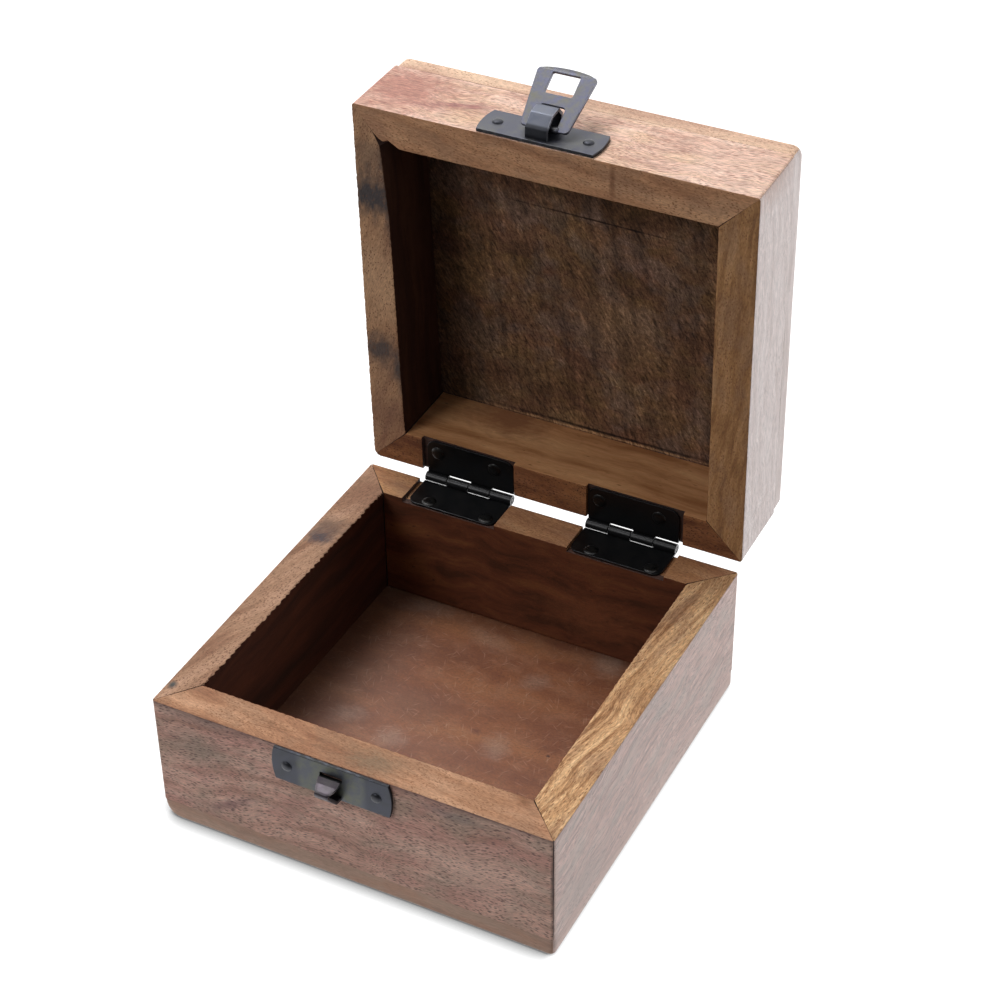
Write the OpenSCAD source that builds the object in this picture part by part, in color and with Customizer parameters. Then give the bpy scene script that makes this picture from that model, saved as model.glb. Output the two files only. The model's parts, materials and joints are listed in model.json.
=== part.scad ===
// Wooden spice box with a hinged lid, two butt hinges and a hasp clasp.
// Millimetres. The origin is at the centre of the base's underside, the clasp faces -Y, and +Z is up.
// The lid is drawn closed and then swung open about its hinge pins, the hasp is drawn hanging and
// then lifted about its bar.

/* [Box] */
// Outside width, left to right
box_w = 100; // [84:1:140]
// Outside depth, front to back
box_d = 100; // [70:1:140]
// Thickness of the side boards of base and lid
wall = 9.5; // [8:0.5:12]
// Height of the base's side boards
base_board_h = 30; // [22:1:60]
// Thickness of the panel under the base
base_panel_t = 5; // [4:0.5:8]
// Height of the lid's side boards
lid_board_h = 20; // [16:1:40]
// Thickness of the panel on top of the lid
lid_panel_t = 5; // [4:0.5:8]
// Gap between the two rims when the lid is closed
rim_gap = 0.3; // [0.3:0.1:0.8]
// Rounding of the upright corners
corner_r = 1.2; // [0.5:0.1:3]
// Rounding of the outer edges of the two panels
edge_r = 1; // [1:0.5:3.5]
// Angle that the lid stands open
lid_open = 88.7; // [0:0.1:180]

/* [Hinges] */
// Length of a hinge along its pin
hinge_len = 24; // [20:0.5:28]
// Distance from each side of the box to the near end of a hinge
hinge_end_gap = 15.9; // [14:0.1:18]
// Sideways offset of the pair of hinges
hinge_shift = -0.7; // [-1:0.1:1]
// Thickness of the hinges' sheet metal
leaf_t = 0.6; // [0.4:0.1:0.7]
// Diameter of the wire pin
pin_d = 1.2; // [1:0.1:1.5]
// Radial clearance of the lid's knuckles on the pin
pin_gap = 0.05; // [0.02:0.01:0.1]
// Clearance between neighbouring knuckles
knuckle_gap = 0.15; // [0.1:0.05:0.3]
// Distance of the pins behind the back boards
pin_setback = 1.4; // [1.4:0.1:3]
// Clearance between a leaf and the other leaf's knuckles
leaf_gap = 0.3; // [0.2:0.05:0.5]
// Distance that a leaf stops short of the inner face of its board
leaf_inset = 0.2; // [0.1:0.1:1]
// Rounding of the leaves' free corners
leaf_corner_r = 2.5; // [1:0.5:4]
// Space between a leaf and the outer end of its mortise
mortise_outer_gap = 1.2; // [0.3:0.1:2]
// Space between a leaf and the inner end of its mortise
mortise_inner_gap = 0.3; // [0.2:0.1:2]
// Distance between the two nails of a leaf
leaf_nail_pitch = 15.7; // [12:0.1:17]
// Sideways offset of a leaf's nails towards its own last knuckle
leaf_nail_shift = 1.1; // [0:0.1:1.5]
// Distance of the base leaves' nails from the leaf's free edge
base_nail_inset = 2; // [2:0.1:4]
// Distance of the lid leaves' nails from the leaf's free edge
lid_nail_inset = 3.4; // [2:0.1:4]

/* [Hinge nails] */
// Diameter of the domed heads
leaf_nail_head_d = 3.6; // [3:0.1:4]
// Height of the domed heads
leaf_nail_head_h = 0.4; // [0.2:0.05:0.45]
// Diameter of the shanks
leaf_nail_d = 1.4; // [1:0.1:1.8]
// Length of the shanks
leaf_nail_len = 9; // [6:0.5:12]

/* [Clasp] */
// Thickness of the clasp's sheet metal
clasp_t = 0.8; // [0.6:0.1:0.9]
// Distance of the clasp from the middle of the box
clasp_x = -3.8; // [-10:0.1:10]
// Length of the plate on the lid and of the plate on the base
clasp_plate_w = 30; // [27:0.5:34]
// Height of the two plates
clasp_plate_h = 9.2; // [8.8:0.1:10]
// Bulge of the plates' ends
clasp_end_bulge = 0.7; // [0.3:0.1:1.2]
// Distance of the lid's plate from the lid's rim
clasp_plate_lift = 0.3; // [0.2:0.1:0.6]
// Distance of the catch plate from the base's rim
catch_plate_drop = 0.2; // [0.2:0.1:0.6]
// Sideways offset of the catch from the lid's plate
catch_shift = 0.4; // [0:0.1:0.5]
// Distance between the two nails of a plate
clasp_nail_pitch = 22.4; // [20:0.1:24]
// Width of the folded tongue that holds the hasp, and of the catch's nose
tongue_w = 5.4; // [4.5:0.1:5.6]
// Width of the nose at its tip
nose_tip_w = 3.6; // [2.5:0.1:4.5]
// Clearance between moving clasp parts
clasp_gap = 0.3; // [0.2:0.05:0.35]

/* [Tongue and nose] */
// Play of the hasp's bar above the tongue's lower leg
bar_play = 0.5; // [0.3:0.1:0.6]
// Drop of the tongue's lower leg from its first fold back to the plate
tongue_drop = 0.7; // [0.3:0.1:0.9]
// Distance of the tongue's first fold in front of the bar
tongue_first_out = 0.7; // [0.4:0.1:1]
// Distance of the tongue's second fold in front of the bar
tongue_low_out = 2.9; // [2.6:0.1:3.1]
// Height of the tongue's second fold above the bar
tongue_low_up = 0.6; // [0.3:0.1:0.9]
// Distance of the tongue's third fold in front of the bar
tongue_high_out = 3.2; // [3.1:0.1:3.6]
// Height of the tongue's third fold above the bar
tongue_high_up = 3.6; // [3.4:0.1:3.6]
// Distance of the tongue's last fold in front of the bar
tongue_last_out = 1.4; // [1.2:0.1:1.4]
// Height of the tongue's last fold above the bar
tongue_last_up = 5.2; // [5:0.1:5.2]
// Fall of the tongue from its last fold back to the plate
tongue_fall = 0.3; // [0.2:0.1:0.6]
// Distance of the nose's lower fold in front of the hasp's bar
nose_low_out = 1; // [0.7:0.1:1.3]
// Distance of the nose's tip fold in front of the hasp's bar
nose_tip_out = 2.6; // [2.3:0.1:3]
// Depth of the nose's tip fold below the top of the hasp's window
nose_tip_down = 3.4; // [3.2:0.1:3.6]
// Gap behind the nose's free end
nose_end_gap = 0.4; // [0.3:0.05:0.5]
// Depth of the nose's free end below the top of the hasp's window
nose_end_down = 0.2; // [0.2:0.1:0.5]
// Rise of the nose's lower leg towards the plate
nose_root_rise = 0.2; // [0:0.1:0.4]
// Gap between the nose's free end and the slot above it
nose_slot_gap = 0.9; // [0.7:0.1:1]
// Height of the slot above the nose
nose_slot_h = 1.2; // [0.8:0.1:1.4]

/* [Hasp] */
// Angle that the hasp is lifted from hanging straight down
hasp_lift = 149; // [0:1:149]
// Sideways offset of the hasp on its tongue
hasp_shift = 0.8; // [0:0.1:1.2]
// Distance of the hasp's bar in front of the box
bar_out = 2.4; // [2.2:0.1:2.6]
// Height of the hasp's bar above the lid's rim
bar_up = 4; // [3.9:0.05:4.2]
// Diameter of the bar that turns in the tongue
bar_d = 1.6; // [1.2:0.1:1.8]
// Width of the hasp at its bar
hasp_bar_w = 11.6; // [11:0.1:13]
// Width of the hasp at the fold of its lip
hasp_tip_w = 14.8; // [13:0.1:17]
// Distance from the bar to the fold of the lip
hasp_fold_r = 14.1; // [14:0.1:15]
// Distance from the bar to the near edge of the window
window_r = 8.5; // [8.4:0.1:8.7]
// Distance from the bar to the far edge of the slot around the tongue
slot_r = 5.7; // [5.6:0.1:6.2]
// Height of the lip at its middle
lip_h = 1.5; // [1:0.1:2]
// Angle that the lip is folded outwards
lip_fold = 30; // [10:1:45]

/* [Clasp nails] */
// Diameter of the domed heads
clasp_nail_head_d = 2.6; // [2:0.1:3.2]
// Height of the domed heads
clasp_nail_head_h = 0.5; // [0.3:0.05:0.6]
// Diameter of the shanks
clasp_nail_d = 1.2; // [0.8:0.1:1.5]
// Length of the shanks
clasp_nail_len = 7; // [4:0.5:8]

/* [Hidden] */
$fn = 64;
wood_brown = "#a98468";
panel_brown = "#9c7f5c";
hinge_black = "#3a3836";
clasp_grey = "#62656b";
nail_grey = "#55575b";

through = 1;                                  // how far a cut runs past the face that it opens
base_h = base_panel_t + base_board_h;         // height of the base's rim
lid_rim_z = base_h + rim_gap;                 // height of the closed lid's rim
lid_top_z = lid_rim_z + lid_board_h + lid_panel_t;
in_w = box_w - 2 * wall;                      // width and depth of the two cavities
in_d = box_d - 2 * wall;

knuckle_r = pin_d / 2 + pin_gap + leaf_t;     // outer radius of the rolled knuckles
pin_y = box_d / 2 + pin_setback;              // the hinge line is parallel to X
pin_z = base_h + rim_gap / 2;
mortise_depth = knuckle_r - rim_gap / 2;      // a leaf's back is tangent to its knuckles
leaf_free_y = in_d / 2 + leaf_inset;
leaf_len = pin_y - leaf_free_y;
knuckles = 4;
knuckle_step = hinge_len / knuckles;
hinge_half_pitch = box_w / 2 - hinge_end_gap - hinge_len / 2;
left_hinge_x = hinge_shift - hinge_half_pitch;
right_hinge_x = hinge_shift + hinge_half_pitch;
nail_hole_gap = 0.1;                          // radial clearance of a nail in sheet metal
nail_tip = 1.5;                               // length of a nail's point

front_y = -box_d / 2;
catch_x = clasp_x + catch_shift;
clasp_plate_z = lid_rim_z + clasp_plate_lift; // lower edge of the closed lid's plate
catch_plate_z = base_h - catch_plate_drop - clasp_plate_h;
bar_y = front_y - bar_out;
bar_z = lid_rim_z + bar_up;
hasp_x = clasp_x + hasp_shift;
hasp_corner = 1;                              // cut off the hasp's corners beside its bar
bar_hold = 0.5;                               // how far each end of the bar reaches into the hasp

// The slot lets the tongue through, and the window the nose, wherever the hasp slides on its bar
slot_w = tongue_w + 2 * (hasp_shift + clasp_gap);
window_w = tongue_w + 2 * (abs(hasp_shift - catch_shift) + clasp_gap);

// The tongue of the lid's plate is folded round the hasp's bar. Each point is the distance in front
// of the box and the height above the lid's rim, along the middle of the sheet.
first_up = bar_up - bar_d / 2 - bar_play - clasp_t / 2;
tongue_path = [
    [clasp_t / 2, first_up - tongue_drop],
    [bar_out + tongue_first_out, first_up],
    [bar_out + tongue_low_out, bar_up + tongue_low_up],
    [bar_out + tongue_high_out, bar_up + tongue_high_up],
    [bar_out + tongue_last_out, bar_up + tongue_last_up],
    [clasp_t / 2, bar_up + tongue_last_up - tongue_fall]
];

// The nose of the catch is folded up from its plate, goes through the closed hasp's window and ends
// close to the plate, under a slot. Heights are from the catch plate's lower edge.
window_top = bar_z - window_r - catch_plate_z;
window_foot = bar_z - hasp_fold_r - catch_plate_z;
nose_low_z = window_foot + clasp_gap + clasp_t / 2;
nose_path = [
    [clasp_t / 2, nose_low_z + nose_root_rise],
    [bar_out + nose_low_out, nose_low_z],
    [bar_out + nose_tip_out, window_top - nose_tip_down],
    [clasp_t + nose_end_gap, window_top - nose_end_down]
];
nose_slot_z = window_top - nose_end_down + nose_slot_gap;

// ---- poses ----

// Swings what is drawn in the closed lid's place open about the hinge pins
module lid_pose() {
    translate([0, pin_y, pin_z]) rotate([-lid_open, 0, 0]) translate([0, -pin_y, -pin_z]) children();
}

// Lifts what is drawn around the hasp's bar, hanging from the origin, and puts it on the lid
module hasp_pose() {
    lid_pose() translate([hasp_x, bar_y, bar_z]) rotate([-hasp_lift, 0, 0]) children();
}

// ---- outlines ----

module rounded_rect(w, d, r) {
    square([w - 2 * r, d], center = true);
    square([w, d - 2 * r], center = true);
    for (x = [-1, 1], y = [-1, 1])
        translate([x * (w / 2 - r), y * (d / 2 - r)]) circle(r);
}

// Strip of sheet metal seen on edge, bent at each of its points
module bent_strip(points, t) {
    for (i = [0 : len(points) - 2]) {
        step = points[i + 1] - points[i];
        translate(points[i]) rotate(atan2(step[1], step[0])) {
            translate([0, -t / 2]) square([norm(step), t]);
            circle(t / 2);
        }
    }
    translate(points[len(points) - 1]) circle(t / 2);
}

// Edge of a panel seen on end: square at the top, rounded below
module eased_section(w, t) {
    translate([-w / 2, edge_r]) square([w, t - edge_r]);
    translate([-w / 2 + edge_r, 0]) square([w - 2 * edge_r, t]);
    for (x = [-1, 1]) translate([x * (w / 2 - edge_r), edge_r]) circle(edge_r);
}

// ---- wood ----

// Panel with its eased edges below and its flat face at the top
module eased_panel(t) {
    intersection() {
        linear_extrude(t) rounded_rect(box_w, box_d, corner_r);
        rotate([90, 0, 0]) linear_extrude(box_d, center = true) eased_section(box_w, t);
        rotate([90, 0, 90]) linear_extrude(box_w, center = true) eased_section(box_d, t);
    }
}

// Plan of the board along X at -Y of a frame that is w by d, mitred at both ends
module mitred_plan(w, d) {
    polygon([
        [-w / 2, -d / 2], [w / 2, -d / 2],
        [w / 2 - wall, -d / 2 + wall], [-w / 2 + wall, -d / 2 + wall]
    ]);
}

// One board of a frame: side 0 is the front, 1 the right, 2 the back and 3 the left
module board(side, h) {
    w = side % 2 == 0 ? box_w : box_d;
    d = side % 2 == 0 ? box_d : box_w;
    linear_extrude(h) intersection() {
        rotate(90 * side) mitred_plan(w, d);
        rounded_rect(box_w, box_d, corner_r);
    }
}

module base_board(side) {
    translate([0, 0, base_panel_t]) board(side, base_board_h);
}

module lid_board(side) {
    translate([0, 0, lid_rim_z]) board(side, lid_board_h);
}

// ---- nails ----

// Nail with its domed head above the origin and its shank below
module nail(head_d, head_h, d, length) {
    dome_r = (head_d * head_d / 4 + head_h * head_h) / (2 * head_h);
    rotate_extrude() {
        intersection() {
            translate([0, head_h - dome_r]) circle(dome_r);
            square([head_d / 2, head_h]);
        }
        polygon([[0, 0], [d / 2, 0], [d / 2, nail_tip - length], [0, -length]]);
    }
}

module leaf_nail() {
    nail(leaf_nail_head_d, leaf_nail_head_h, leaf_nail_d, leaf_nail_len);
}

module clasp_nail() {
    nail(clasp_nail_head_d, clasp_nail_head_h, clasp_nail_d, clasp_nail_len);
}

// ---- hinges ----
// A hinge's parts are drawn for its base leaf, from the middle of its pin, with the leaf along -Y.
// The lid's leaf is drawn in the same way, mirrored in the level plane through the pin.

// Places of a leaf's two nails, on the leaf's face
module at_leaf_nails(shift, inset) {
    for (side = [-1, 1])
        translate([shift + side * leaf_nail_pitch / 2, inset - leaf_len, leaf_t - knuckle_r])
            children();
}

// Leaf with knuckles at every second place, counted from first
module leaf(first, bore_r, shift, inset) {
    difference() {
        union() {
            translate([0, 0, -knuckle_r]) linear_extrude(leaf_t) difference() {
                leaf_plan();
                for (i = [1 - first : 2 : knuckles - 1])
                    translate([i * knuckle_step - (hinge_len + knuckle_gap) / 2, -knuckle_r - leaf_gap])
                        square([knuckle_step + knuckle_gap, 2 * knuckle_r]);
            }
            for (i = [first : 2 : knuckles - 1])
                translate([i * knuckle_step - (hinge_len - knuckle_gap) / 2, 0, 0]) rotate([0, 90, 0])
                    cylinder(r = knuckle_r, h = knuckle_step - knuckle_gap);
        }
        rotate([0, 90, 0]) cylinder(r = bore_r, h = hinge_len + through, center = true);
        at_leaf_nails(shift, inset)
            cylinder(r = leaf_nail_d / 2 + nail_hole_gap, h = 2 * (leaf_t + through), center = true);
    }
}

// Outline of a leaf from the pin's line to its free edge, with the two free corners rounded
module leaf_plan() {
    free_w = hinge_len - 2 * leaf_corner_r;
    translate([-hinge_len / 2, leaf_corner_r - leaf_len])
        square([hinge_len, leaf_len - leaf_corner_r]);
    translate([-free_w / 2, -leaf_len]) square([free_w, 2 * leaf_corner_r]);
    for (side = [-1, 1])
        translate([side * free_w / 2, leaf_corner_r - leaf_len]) circle(leaf_corner_r);
}

module at_hinge(x) {
    translate([x, pin_y, pin_z]) children();
}

module base_leaf(x) {
    at_hinge(x) leaf(1, pin_d / 2, leaf_nail_shift, base_nail_inset);
}

module lid_leaf(x) {
    at_hinge(x) mirror([0, 0, 1]) leaf(0, pin_d / 2 + pin_gap, -leaf_nail_shift, lid_nail_inset);
}

module base_leaf_nails(x) {
    at_hinge(x) at_leaf_nails(leaf_nail_shift, base_nail_inset) leaf_nail();
}

module lid_leaf_nails(x) {
    at_hinge(x) mirror([0, 0, 1]) at_leaf_nails(-leaf_nail_shift, lid_nail_inset) leaf_nail();
}

module hinge_pin(x) {
    at_hinge(x) rotate([0, 90, 0]) cylinder(d = pin_d, h = hinge_len - knuckle_gap, center = true);
}

// Space chopped out of both rims for a closed hinge; outer is the side of the box that it is nearer
module mortise(x, outer) {
    low_gap = outer < 0 ? mortise_outer_gap : mortise_inner_gap;
    high_gap = outer < 0 ? mortise_inner_gap : mortise_outer_gap;
    at_hinge(x) translate([-hinge_len / 2 - low_gap, -pin_setback - wall - through, -knuckle_r])
        cube([hinge_len + low_gap + high_gap, wall + 2 * through, 2 * knuckle_r]);
}

module mortises() {
    mortise(left_hinge_x, -1);
    mortise(right_hinge_x, 1);
}

// ---- clasp ----

// Draws what is given as distance in front of the box and height, w wide along X
module folded_strip(points, w) {
    mirror([0, 1, 0]) rotate([90, 0, 90]) linear_extrude(w, center = true)
        bent_strip(points, clasp_t);
}

// Places of a plate's two nails on its face, from the middle of the plate's lower edge at the box
module at_clasp_nails() {
    for (side = [-1, 1])
        translate([side * clasp_nail_pitch / 2, -clasp_t, clasp_plate_h / 2]) rotate([90, 0, 0])
            children();
}

// Flat plate with bulging ends and its two nail holes
module clasp_plate() {
    end_r = (pow(clasp_plate_h / 2, 2) + pow(clasp_end_bulge, 2)) / (2 * clasp_end_bulge);
    difference() {
        translate([0, 0, clasp_plate_h / 2]) rotate([90, 0, 0]) linear_extrude(clasp_t) intersection() {
            square([clasp_plate_w, clasp_plate_h], center = true);
            between_bulging_ends(end_r);
        }
        at_clasp_nails()
            cylinder(r = clasp_nail_d / 2 + nail_hole_gap, h = 2 * (clasp_t + through), center = true);
    }
}

// Space between the two arcs that end a plate
module between_bulging_ends(end_r) {
    intersection_for (side = [-1, 1])
        translate([side * (clasp_plate_w / 2 - end_r), 0]) circle(end_r);
}

module at_lid_plate() {
    translate([clasp_x, front_y, clasp_plate_z]) children();
}

module at_catch_plate() {
    translate([catch_x, front_y, catch_plate_z]) children();
}

// Nose of the catch, narrower at its tip than at the plate
module nose() {
    tip_out = nose_path[2][0] + clasp_t;
    intersection() {
        folded_strip(nose_path, tongue_w);
        translate([0, 0, -through]) linear_extrude(clasp_plate_h + through) polygon([
            [-tongue_w / 2, 0], [tongue_w / 2, 0], [tongue_w / 2, -clasp_t],
            [nose_tip_w / 2, -tip_out], [-nose_tip_w / 2, -tip_out], [-tongue_w / 2, -clasp_t]
        ]);
    }
}

// Half of the hasp's width at a distance from its bar
function hasp_half_w(r) = (hasp_bar_w + (hasp_tip_w - hasp_bar_w) * r / hasp_fold_r) / 2;

// Front of the hanging hasp: sides that spread towards the lip, whose free edge is an arc
module hasp_front() {
    far_r = hasp_fold_r + lip_h;
    near_z = bar_d / 4;
    rise = lip_h * cos(lip_fold);
    arc_r = (pow(hasp_tip_w / 2, 2) + pow(rise, 2)) / (2 * rise);
    difference() {
        intersection() {
            polygon([
                [-hasp_half_w(far_r), -far_r], [hasp_half_w(far_r), -far_r],
                [hasp_half_w(hasp_corner), -hasp_corner], [hasp_half_w(0) - hasp_corner, near_z],
                [hasp_corner - hasp_half_w(0), near_z], [-hasp_half_w(hasp_corner), -hasp_corner]
            ]);
            translate([0, arc_r - hasp_fold_r - rise]) circle(arc_r);
        }
        translate([-slot_w / 2, -slot_r]) square([slot_w, slot_r]);
        translate([-window_w / 2, -hasp_fold_r]) square([window_w, hasp_fold_r - window_r]);
    }
}

// Side of the hanging hasp: flat from its bar to the fold, then bent outwards
module hasp_side() {
    bent_strip([
        [0, bar_d], [0, -hasp_fold_r],
        [2 * lip_h * sin(lip_fold), -hasp_fold_r - 2 * lip_h * cos(lip_fold)]
    ], clasp_t);
}

// ---- sub-parts ----

module base_panel() {
    color(panel_brown) eased_panel(base_panel_t);
}

module base_front_board() {
    color(wood_brown) difference() {
        base_board(0);
        at_catch_plate() at_clasp_nails() clasp_nail();
    }
}

module base_right_board() {
    color(wood_brown) base_board(1);
}

module base_back_board() {
    color(wood_brown) difference() {
        base_board(2);
        mortises();
        for (x = [left_hinge_x, right_hinge_x]) base_leaf_nails(x);
    }
}

module base_left_board() {
    color(wood_brown) base_board(3);
}

module lid_panel() {
    color(panel_brown) lid_pose() translate([0, 0, lid_top_z]) mirror([0, 0, 1]) eased_panel(lid_panel_t);
}

module lid_front_board() {
    color(wood_brown) lid_pose() difference() {
        lid_board(0);
        at_lid_plate() at_clasp_nails() clasp_nail();
    }
}

module lid_right_board() {
    color(wood_brown) lid_pose() lid_board(1);
}

module lid_back_board() {
    color(wood_brown) lid_pose() difference() {
        lid_board(2);
        mortises();
        for (x = [left_hinge_x, right_hinge_x]) lid_leaf_nails(x);
    }
}

module lid_left_board() {
    color(wood_brown) lid_pose() lid_board(3);
}

module hinge_left_base_leaf() {
    color(hinge_black) base_leaf(left_hinge_x);
}

module hinge_left_lid_leaf() {
    color(hinge_black) lid_pose() lid_leaf(left_hinge_x);
}

module hinge_left_pin() {
    color(hinge_black) hinge_pin(left_hinge_x);
}

module hinge_left_base_nails() {
    color(nail_grey) base_leaf_nails(left_hinge_x);
}

module hinge_left_lid_nails() {
    color(nail_grey) lid_pose() lid_leaf_nails(left_hinge_x);
}

module hinge_right_base_leaf() {
    color(hinge_black) base_leaf(right_hinge_x);
}

module hinge_right_lid_leaf() {
    color(hinge_black) lid_pose() lid_leaf(right_hinge_x);
}

module hinge_right_pin() {
    color(hinge_black) hinge_pin(right_hinge_x);
}

module hinge_right_base_nails() {
    color(nail_grey) base_leaf_nails(right_hinge_x);
}

module hinge_right_lid_nails() {
    color(nail_grey) lid_pose() lid_leaf_nails(right_hinge_x);
}

module catch_plate() {
    color(clasp_grey) at_catch_plate() {
        difference() {
            clasp_plate();
            translate([-tongue_w / 2, -clasp_t - through, nose_slot_z])
                cube([tongue_w, clasp_t + 2 * through, nose_slot_h]);
        }
        nose();
    }
}

module catch_nails() {
    color(nail_grey) at_catch_plate() at_clasp_nails() clasp_nail();
}

module clasp_lid_plate() {
    color(clasp_grey) lid_pose() {
        at_lid_plate() clasp_plate();
        translate([clasp_x, front_y, lid_rim_z]) folded_strip(tongue_path, tongue_w);
    }
}

module clasp_lid_nails() {
    color(nail_grey) lid_pose() at_lid_plate() at_clasp_nails() clasp_nail();
}

module hasp() {
    color(clasp_grey) hasp_pose() {
        intersection() {
            rotate([90, 0, 0]) linear_extrude(4 * lip_h, center = true) hasp_front();
            mirror([0, 1, 0]) rotate([90, 0, 90]) linear_extrude(2 * hasp_tip_w, center = true) hasp_side();
        }
        rotate([0, 90, 0]) cylinder(d = bar_d, h = slot_w + 2 * bar_hold, center = true);
    }
}

base_panel();
base_front_board();
base_back_board();
base_left_board();
base_right_board();
lid_panel();
lid_front_board();
lid_back_board();
lid_left_board();
lid_right_board();
hinge_left_base_leaf();
hinge_left_lid_leaf();
hinge_left_pin();
hinge_left_base_nails();
hinge_left_lid_nails();
hinge_right_base_leaf();
hinge_right_lid_leaf();
hinge_right_pin();
hinge_right_base_nails();
hinge_right_lid_nails();
catch_plate();
catch_nails();
clasp_lid_plate();
clasp_lid_nails();
hasp();
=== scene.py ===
# %% [markdown]
# # A wooden spice box
# A small box of four mitred boards on a glued panel, and a lid made in the same way. Two butt
# hinges let the lid swing, and a hasp clasp closes it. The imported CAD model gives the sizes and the
# places, and this script gives each piece its finished surface. Lengths are written in millimetres
# and turned to metres where a mesh is made.

import json
import math

import bmesh
import bpy
import numpy as np
from mathutils import Matrix, Vector


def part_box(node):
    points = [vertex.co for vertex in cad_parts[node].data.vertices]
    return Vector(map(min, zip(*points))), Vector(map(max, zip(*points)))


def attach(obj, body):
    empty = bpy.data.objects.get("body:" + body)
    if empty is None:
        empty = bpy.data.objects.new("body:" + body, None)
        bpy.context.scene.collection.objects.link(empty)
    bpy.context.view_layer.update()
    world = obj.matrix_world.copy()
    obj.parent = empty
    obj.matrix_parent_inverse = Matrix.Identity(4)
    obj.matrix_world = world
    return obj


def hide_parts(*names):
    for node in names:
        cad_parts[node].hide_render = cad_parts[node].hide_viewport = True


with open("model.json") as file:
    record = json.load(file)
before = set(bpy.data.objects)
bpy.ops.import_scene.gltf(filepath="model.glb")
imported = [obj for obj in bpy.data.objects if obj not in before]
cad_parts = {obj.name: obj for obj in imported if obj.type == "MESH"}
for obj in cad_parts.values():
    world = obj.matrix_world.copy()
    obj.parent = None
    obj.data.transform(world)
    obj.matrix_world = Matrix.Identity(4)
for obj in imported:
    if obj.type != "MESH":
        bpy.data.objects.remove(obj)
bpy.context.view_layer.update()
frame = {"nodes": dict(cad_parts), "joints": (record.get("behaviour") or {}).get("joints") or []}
MM = 0.001


def corners(node):
    """Lowest and highest corner of a CAD node at rest, in millimetres."""
    low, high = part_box(node)
    return low / MM, high / MM


# %% [markdown]
# ## The sizes that everything follows
# The base stands at rest as it was drawn, so its boxes give the sizes. The lid stands open, and its
# boards are drawn as if it was closed and then swung by the hinge's own angle, so that the grain
# turns with the wood.

# %% Sizes of the base
panel_low, panel_high = corners("base_panel")
front_low, front_high = corners("base_front_board")
left_low, left_high = corners("base_left_board")

BOX_W = panel_high.x - panel_low.x
BOX_D = panel_high.y - panel_low.y
PANEL_T = panel_high.z - panel_low.z
WALL = left_high.x - left_low.x
BASE_H = front_high.z - front_low.z
RIM_Z = front_high.z
print(f"box {BOX_W:.1f} x {BOX_D:.1f} mm, boards {WALL:.1f} thick and {BASE_H:.1f} high, panel {PANEL_T:.1f}")

# %% [markdown]
# ## The lid's own place
# The frame says where the lid turns and how far it stands open. Turning it back by that angle gives
# the closed lid, in which every face is level or upright and easy to measure.

# %% Sizes of the lid, as if it was closed
joints = {joint["name"]: joint for joint in frame["joints"]}


def swing(joint, degrees):
    """Matrix, in millimetres, that turns a point about a joint's axis at its place at rest."""
    place = Vector(joint["pos_m"]) / MM
    turn = Matrix.Rotation(math.radians(degrees), 4, Vector(joint["axis"]))
    return Matrix.Translation(place) @ turn @ Matrix.Translation(-place)


LID_POSE = swing(joints["lid_hinge"], -joints["lid_hinge"]["range_deg"][0])
CLOSED = LID_POSE.inverted()


def closed_corners(node):
    """Lowest and highest corner, in millimetres, of one of the lid's CAD nodes with the lid closed."""
    points = [CLOSED @ (v.co / MM) for v in frame["nodes"][node].data.vertices]
    low = Vector(min(p[i] for p in points) for i in range(3))
    high = Vector(max(p[i] for p in points) for i in range(3))
    return low, high


lid_low, lid_high = closed_corners("lid_front_board")
lid_panel_low, lid_panel_high = closed_corners("lid_panel")
LID_RIM_Z = lid_low.z
LID_H = lid_high.z - lid_low.z
LID_PANEL_T = lid_panel_high.z - lid_panel_low.z
print(f"closed lid: rim at {LID_RIM_Z:.2f}, boards {LID_H:.1f} high, panel {LID_PANEL_T:.1f}")

# %% [markdown]
# ## The camera
# A fairly long lens looks down at the box from the front right, and leans by less than a degree.

# %% Camera
EYE = Vector((205.52, -371.27, 392.10))
AIM = Vector((1.56, 20.85, 60.00))
CAMERA_LEAN = -0.80
LENS = 86.72
SENSOR = 36

camera = bpy.data.objects.new("camera", bpy.data.cameras.new("camera"))
bpy.context.scene.collection.objects.link(camera)
looking = (AIM - EYE).to_track_quat("-Z", "Y").to_matrix().to_4x4()
lean = Matrix.Rotation(math.radians(CAMERA_LEAN), 4, "Z")
camera.matrix_world = Matrix.Translation(EYE * MM) @ looking @ lean
camera.data.lens = LENS
camera.data.sensor_width = SENSOR
camera.data.clip_start = 0.01
bpy.context.scene.camera = camera
bpy.context.scene.view_settings.view_transform = "Standard"
print(f"camera {(AIM - EYE).length:.0f} mm from its aim")

# %% [markdown]
# ## Colours and nodes
# A colour is written as it looks on a screen and turned to the linear light that the renderer
# counts in. Every material is made of nodes, which one small function adds.

# %% Helpers for materials
def linear(hex_colour):
    """sRGB hex colour, such as "#a98468", as linear red, green, blue and alpha."""
    channels = [int(hex_colour[i : i + 2], 16) / 255 for i in (1, 3, 5)]
    return [c / 12.92 if c <= 0.04045 else ((c + 0.055) / 1.055) ** 2.4 for c in channels] + [1]


def new_material(name):
    """An empty node material and its node tree."""
    material = bpy.data.materials.new(name)
    material.use_nodes = True
    material.node_tree.nodes.clear()
    return material, material.node_tree


def add(tree, kind, inputs=None, **settings):
    """Adds a node. inputs gives, by name or number, values or the sockets that feed it."""
    node = tree.nodes.new(kind)
    for key, value in settings.items():
        setattr(node, key, value)
    for key, value in (inputs or {}).items():
        if isinstance(value, bpy.types.NodeSocket):
            tree.links.new(value, node.inputs[key])
        else:
            node.inputs[key].default_value = value
    return node


print("sanded board:", [round(c, 3) for c in linear("#a98468")[:3]])

# %% [markdown]
# ## Tone and shade
# Most of the looks here come from two moves: a tone that is laid over a colour where some cloud is
# dense, and a colour that such a cloud makes darker or lighter.

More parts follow.
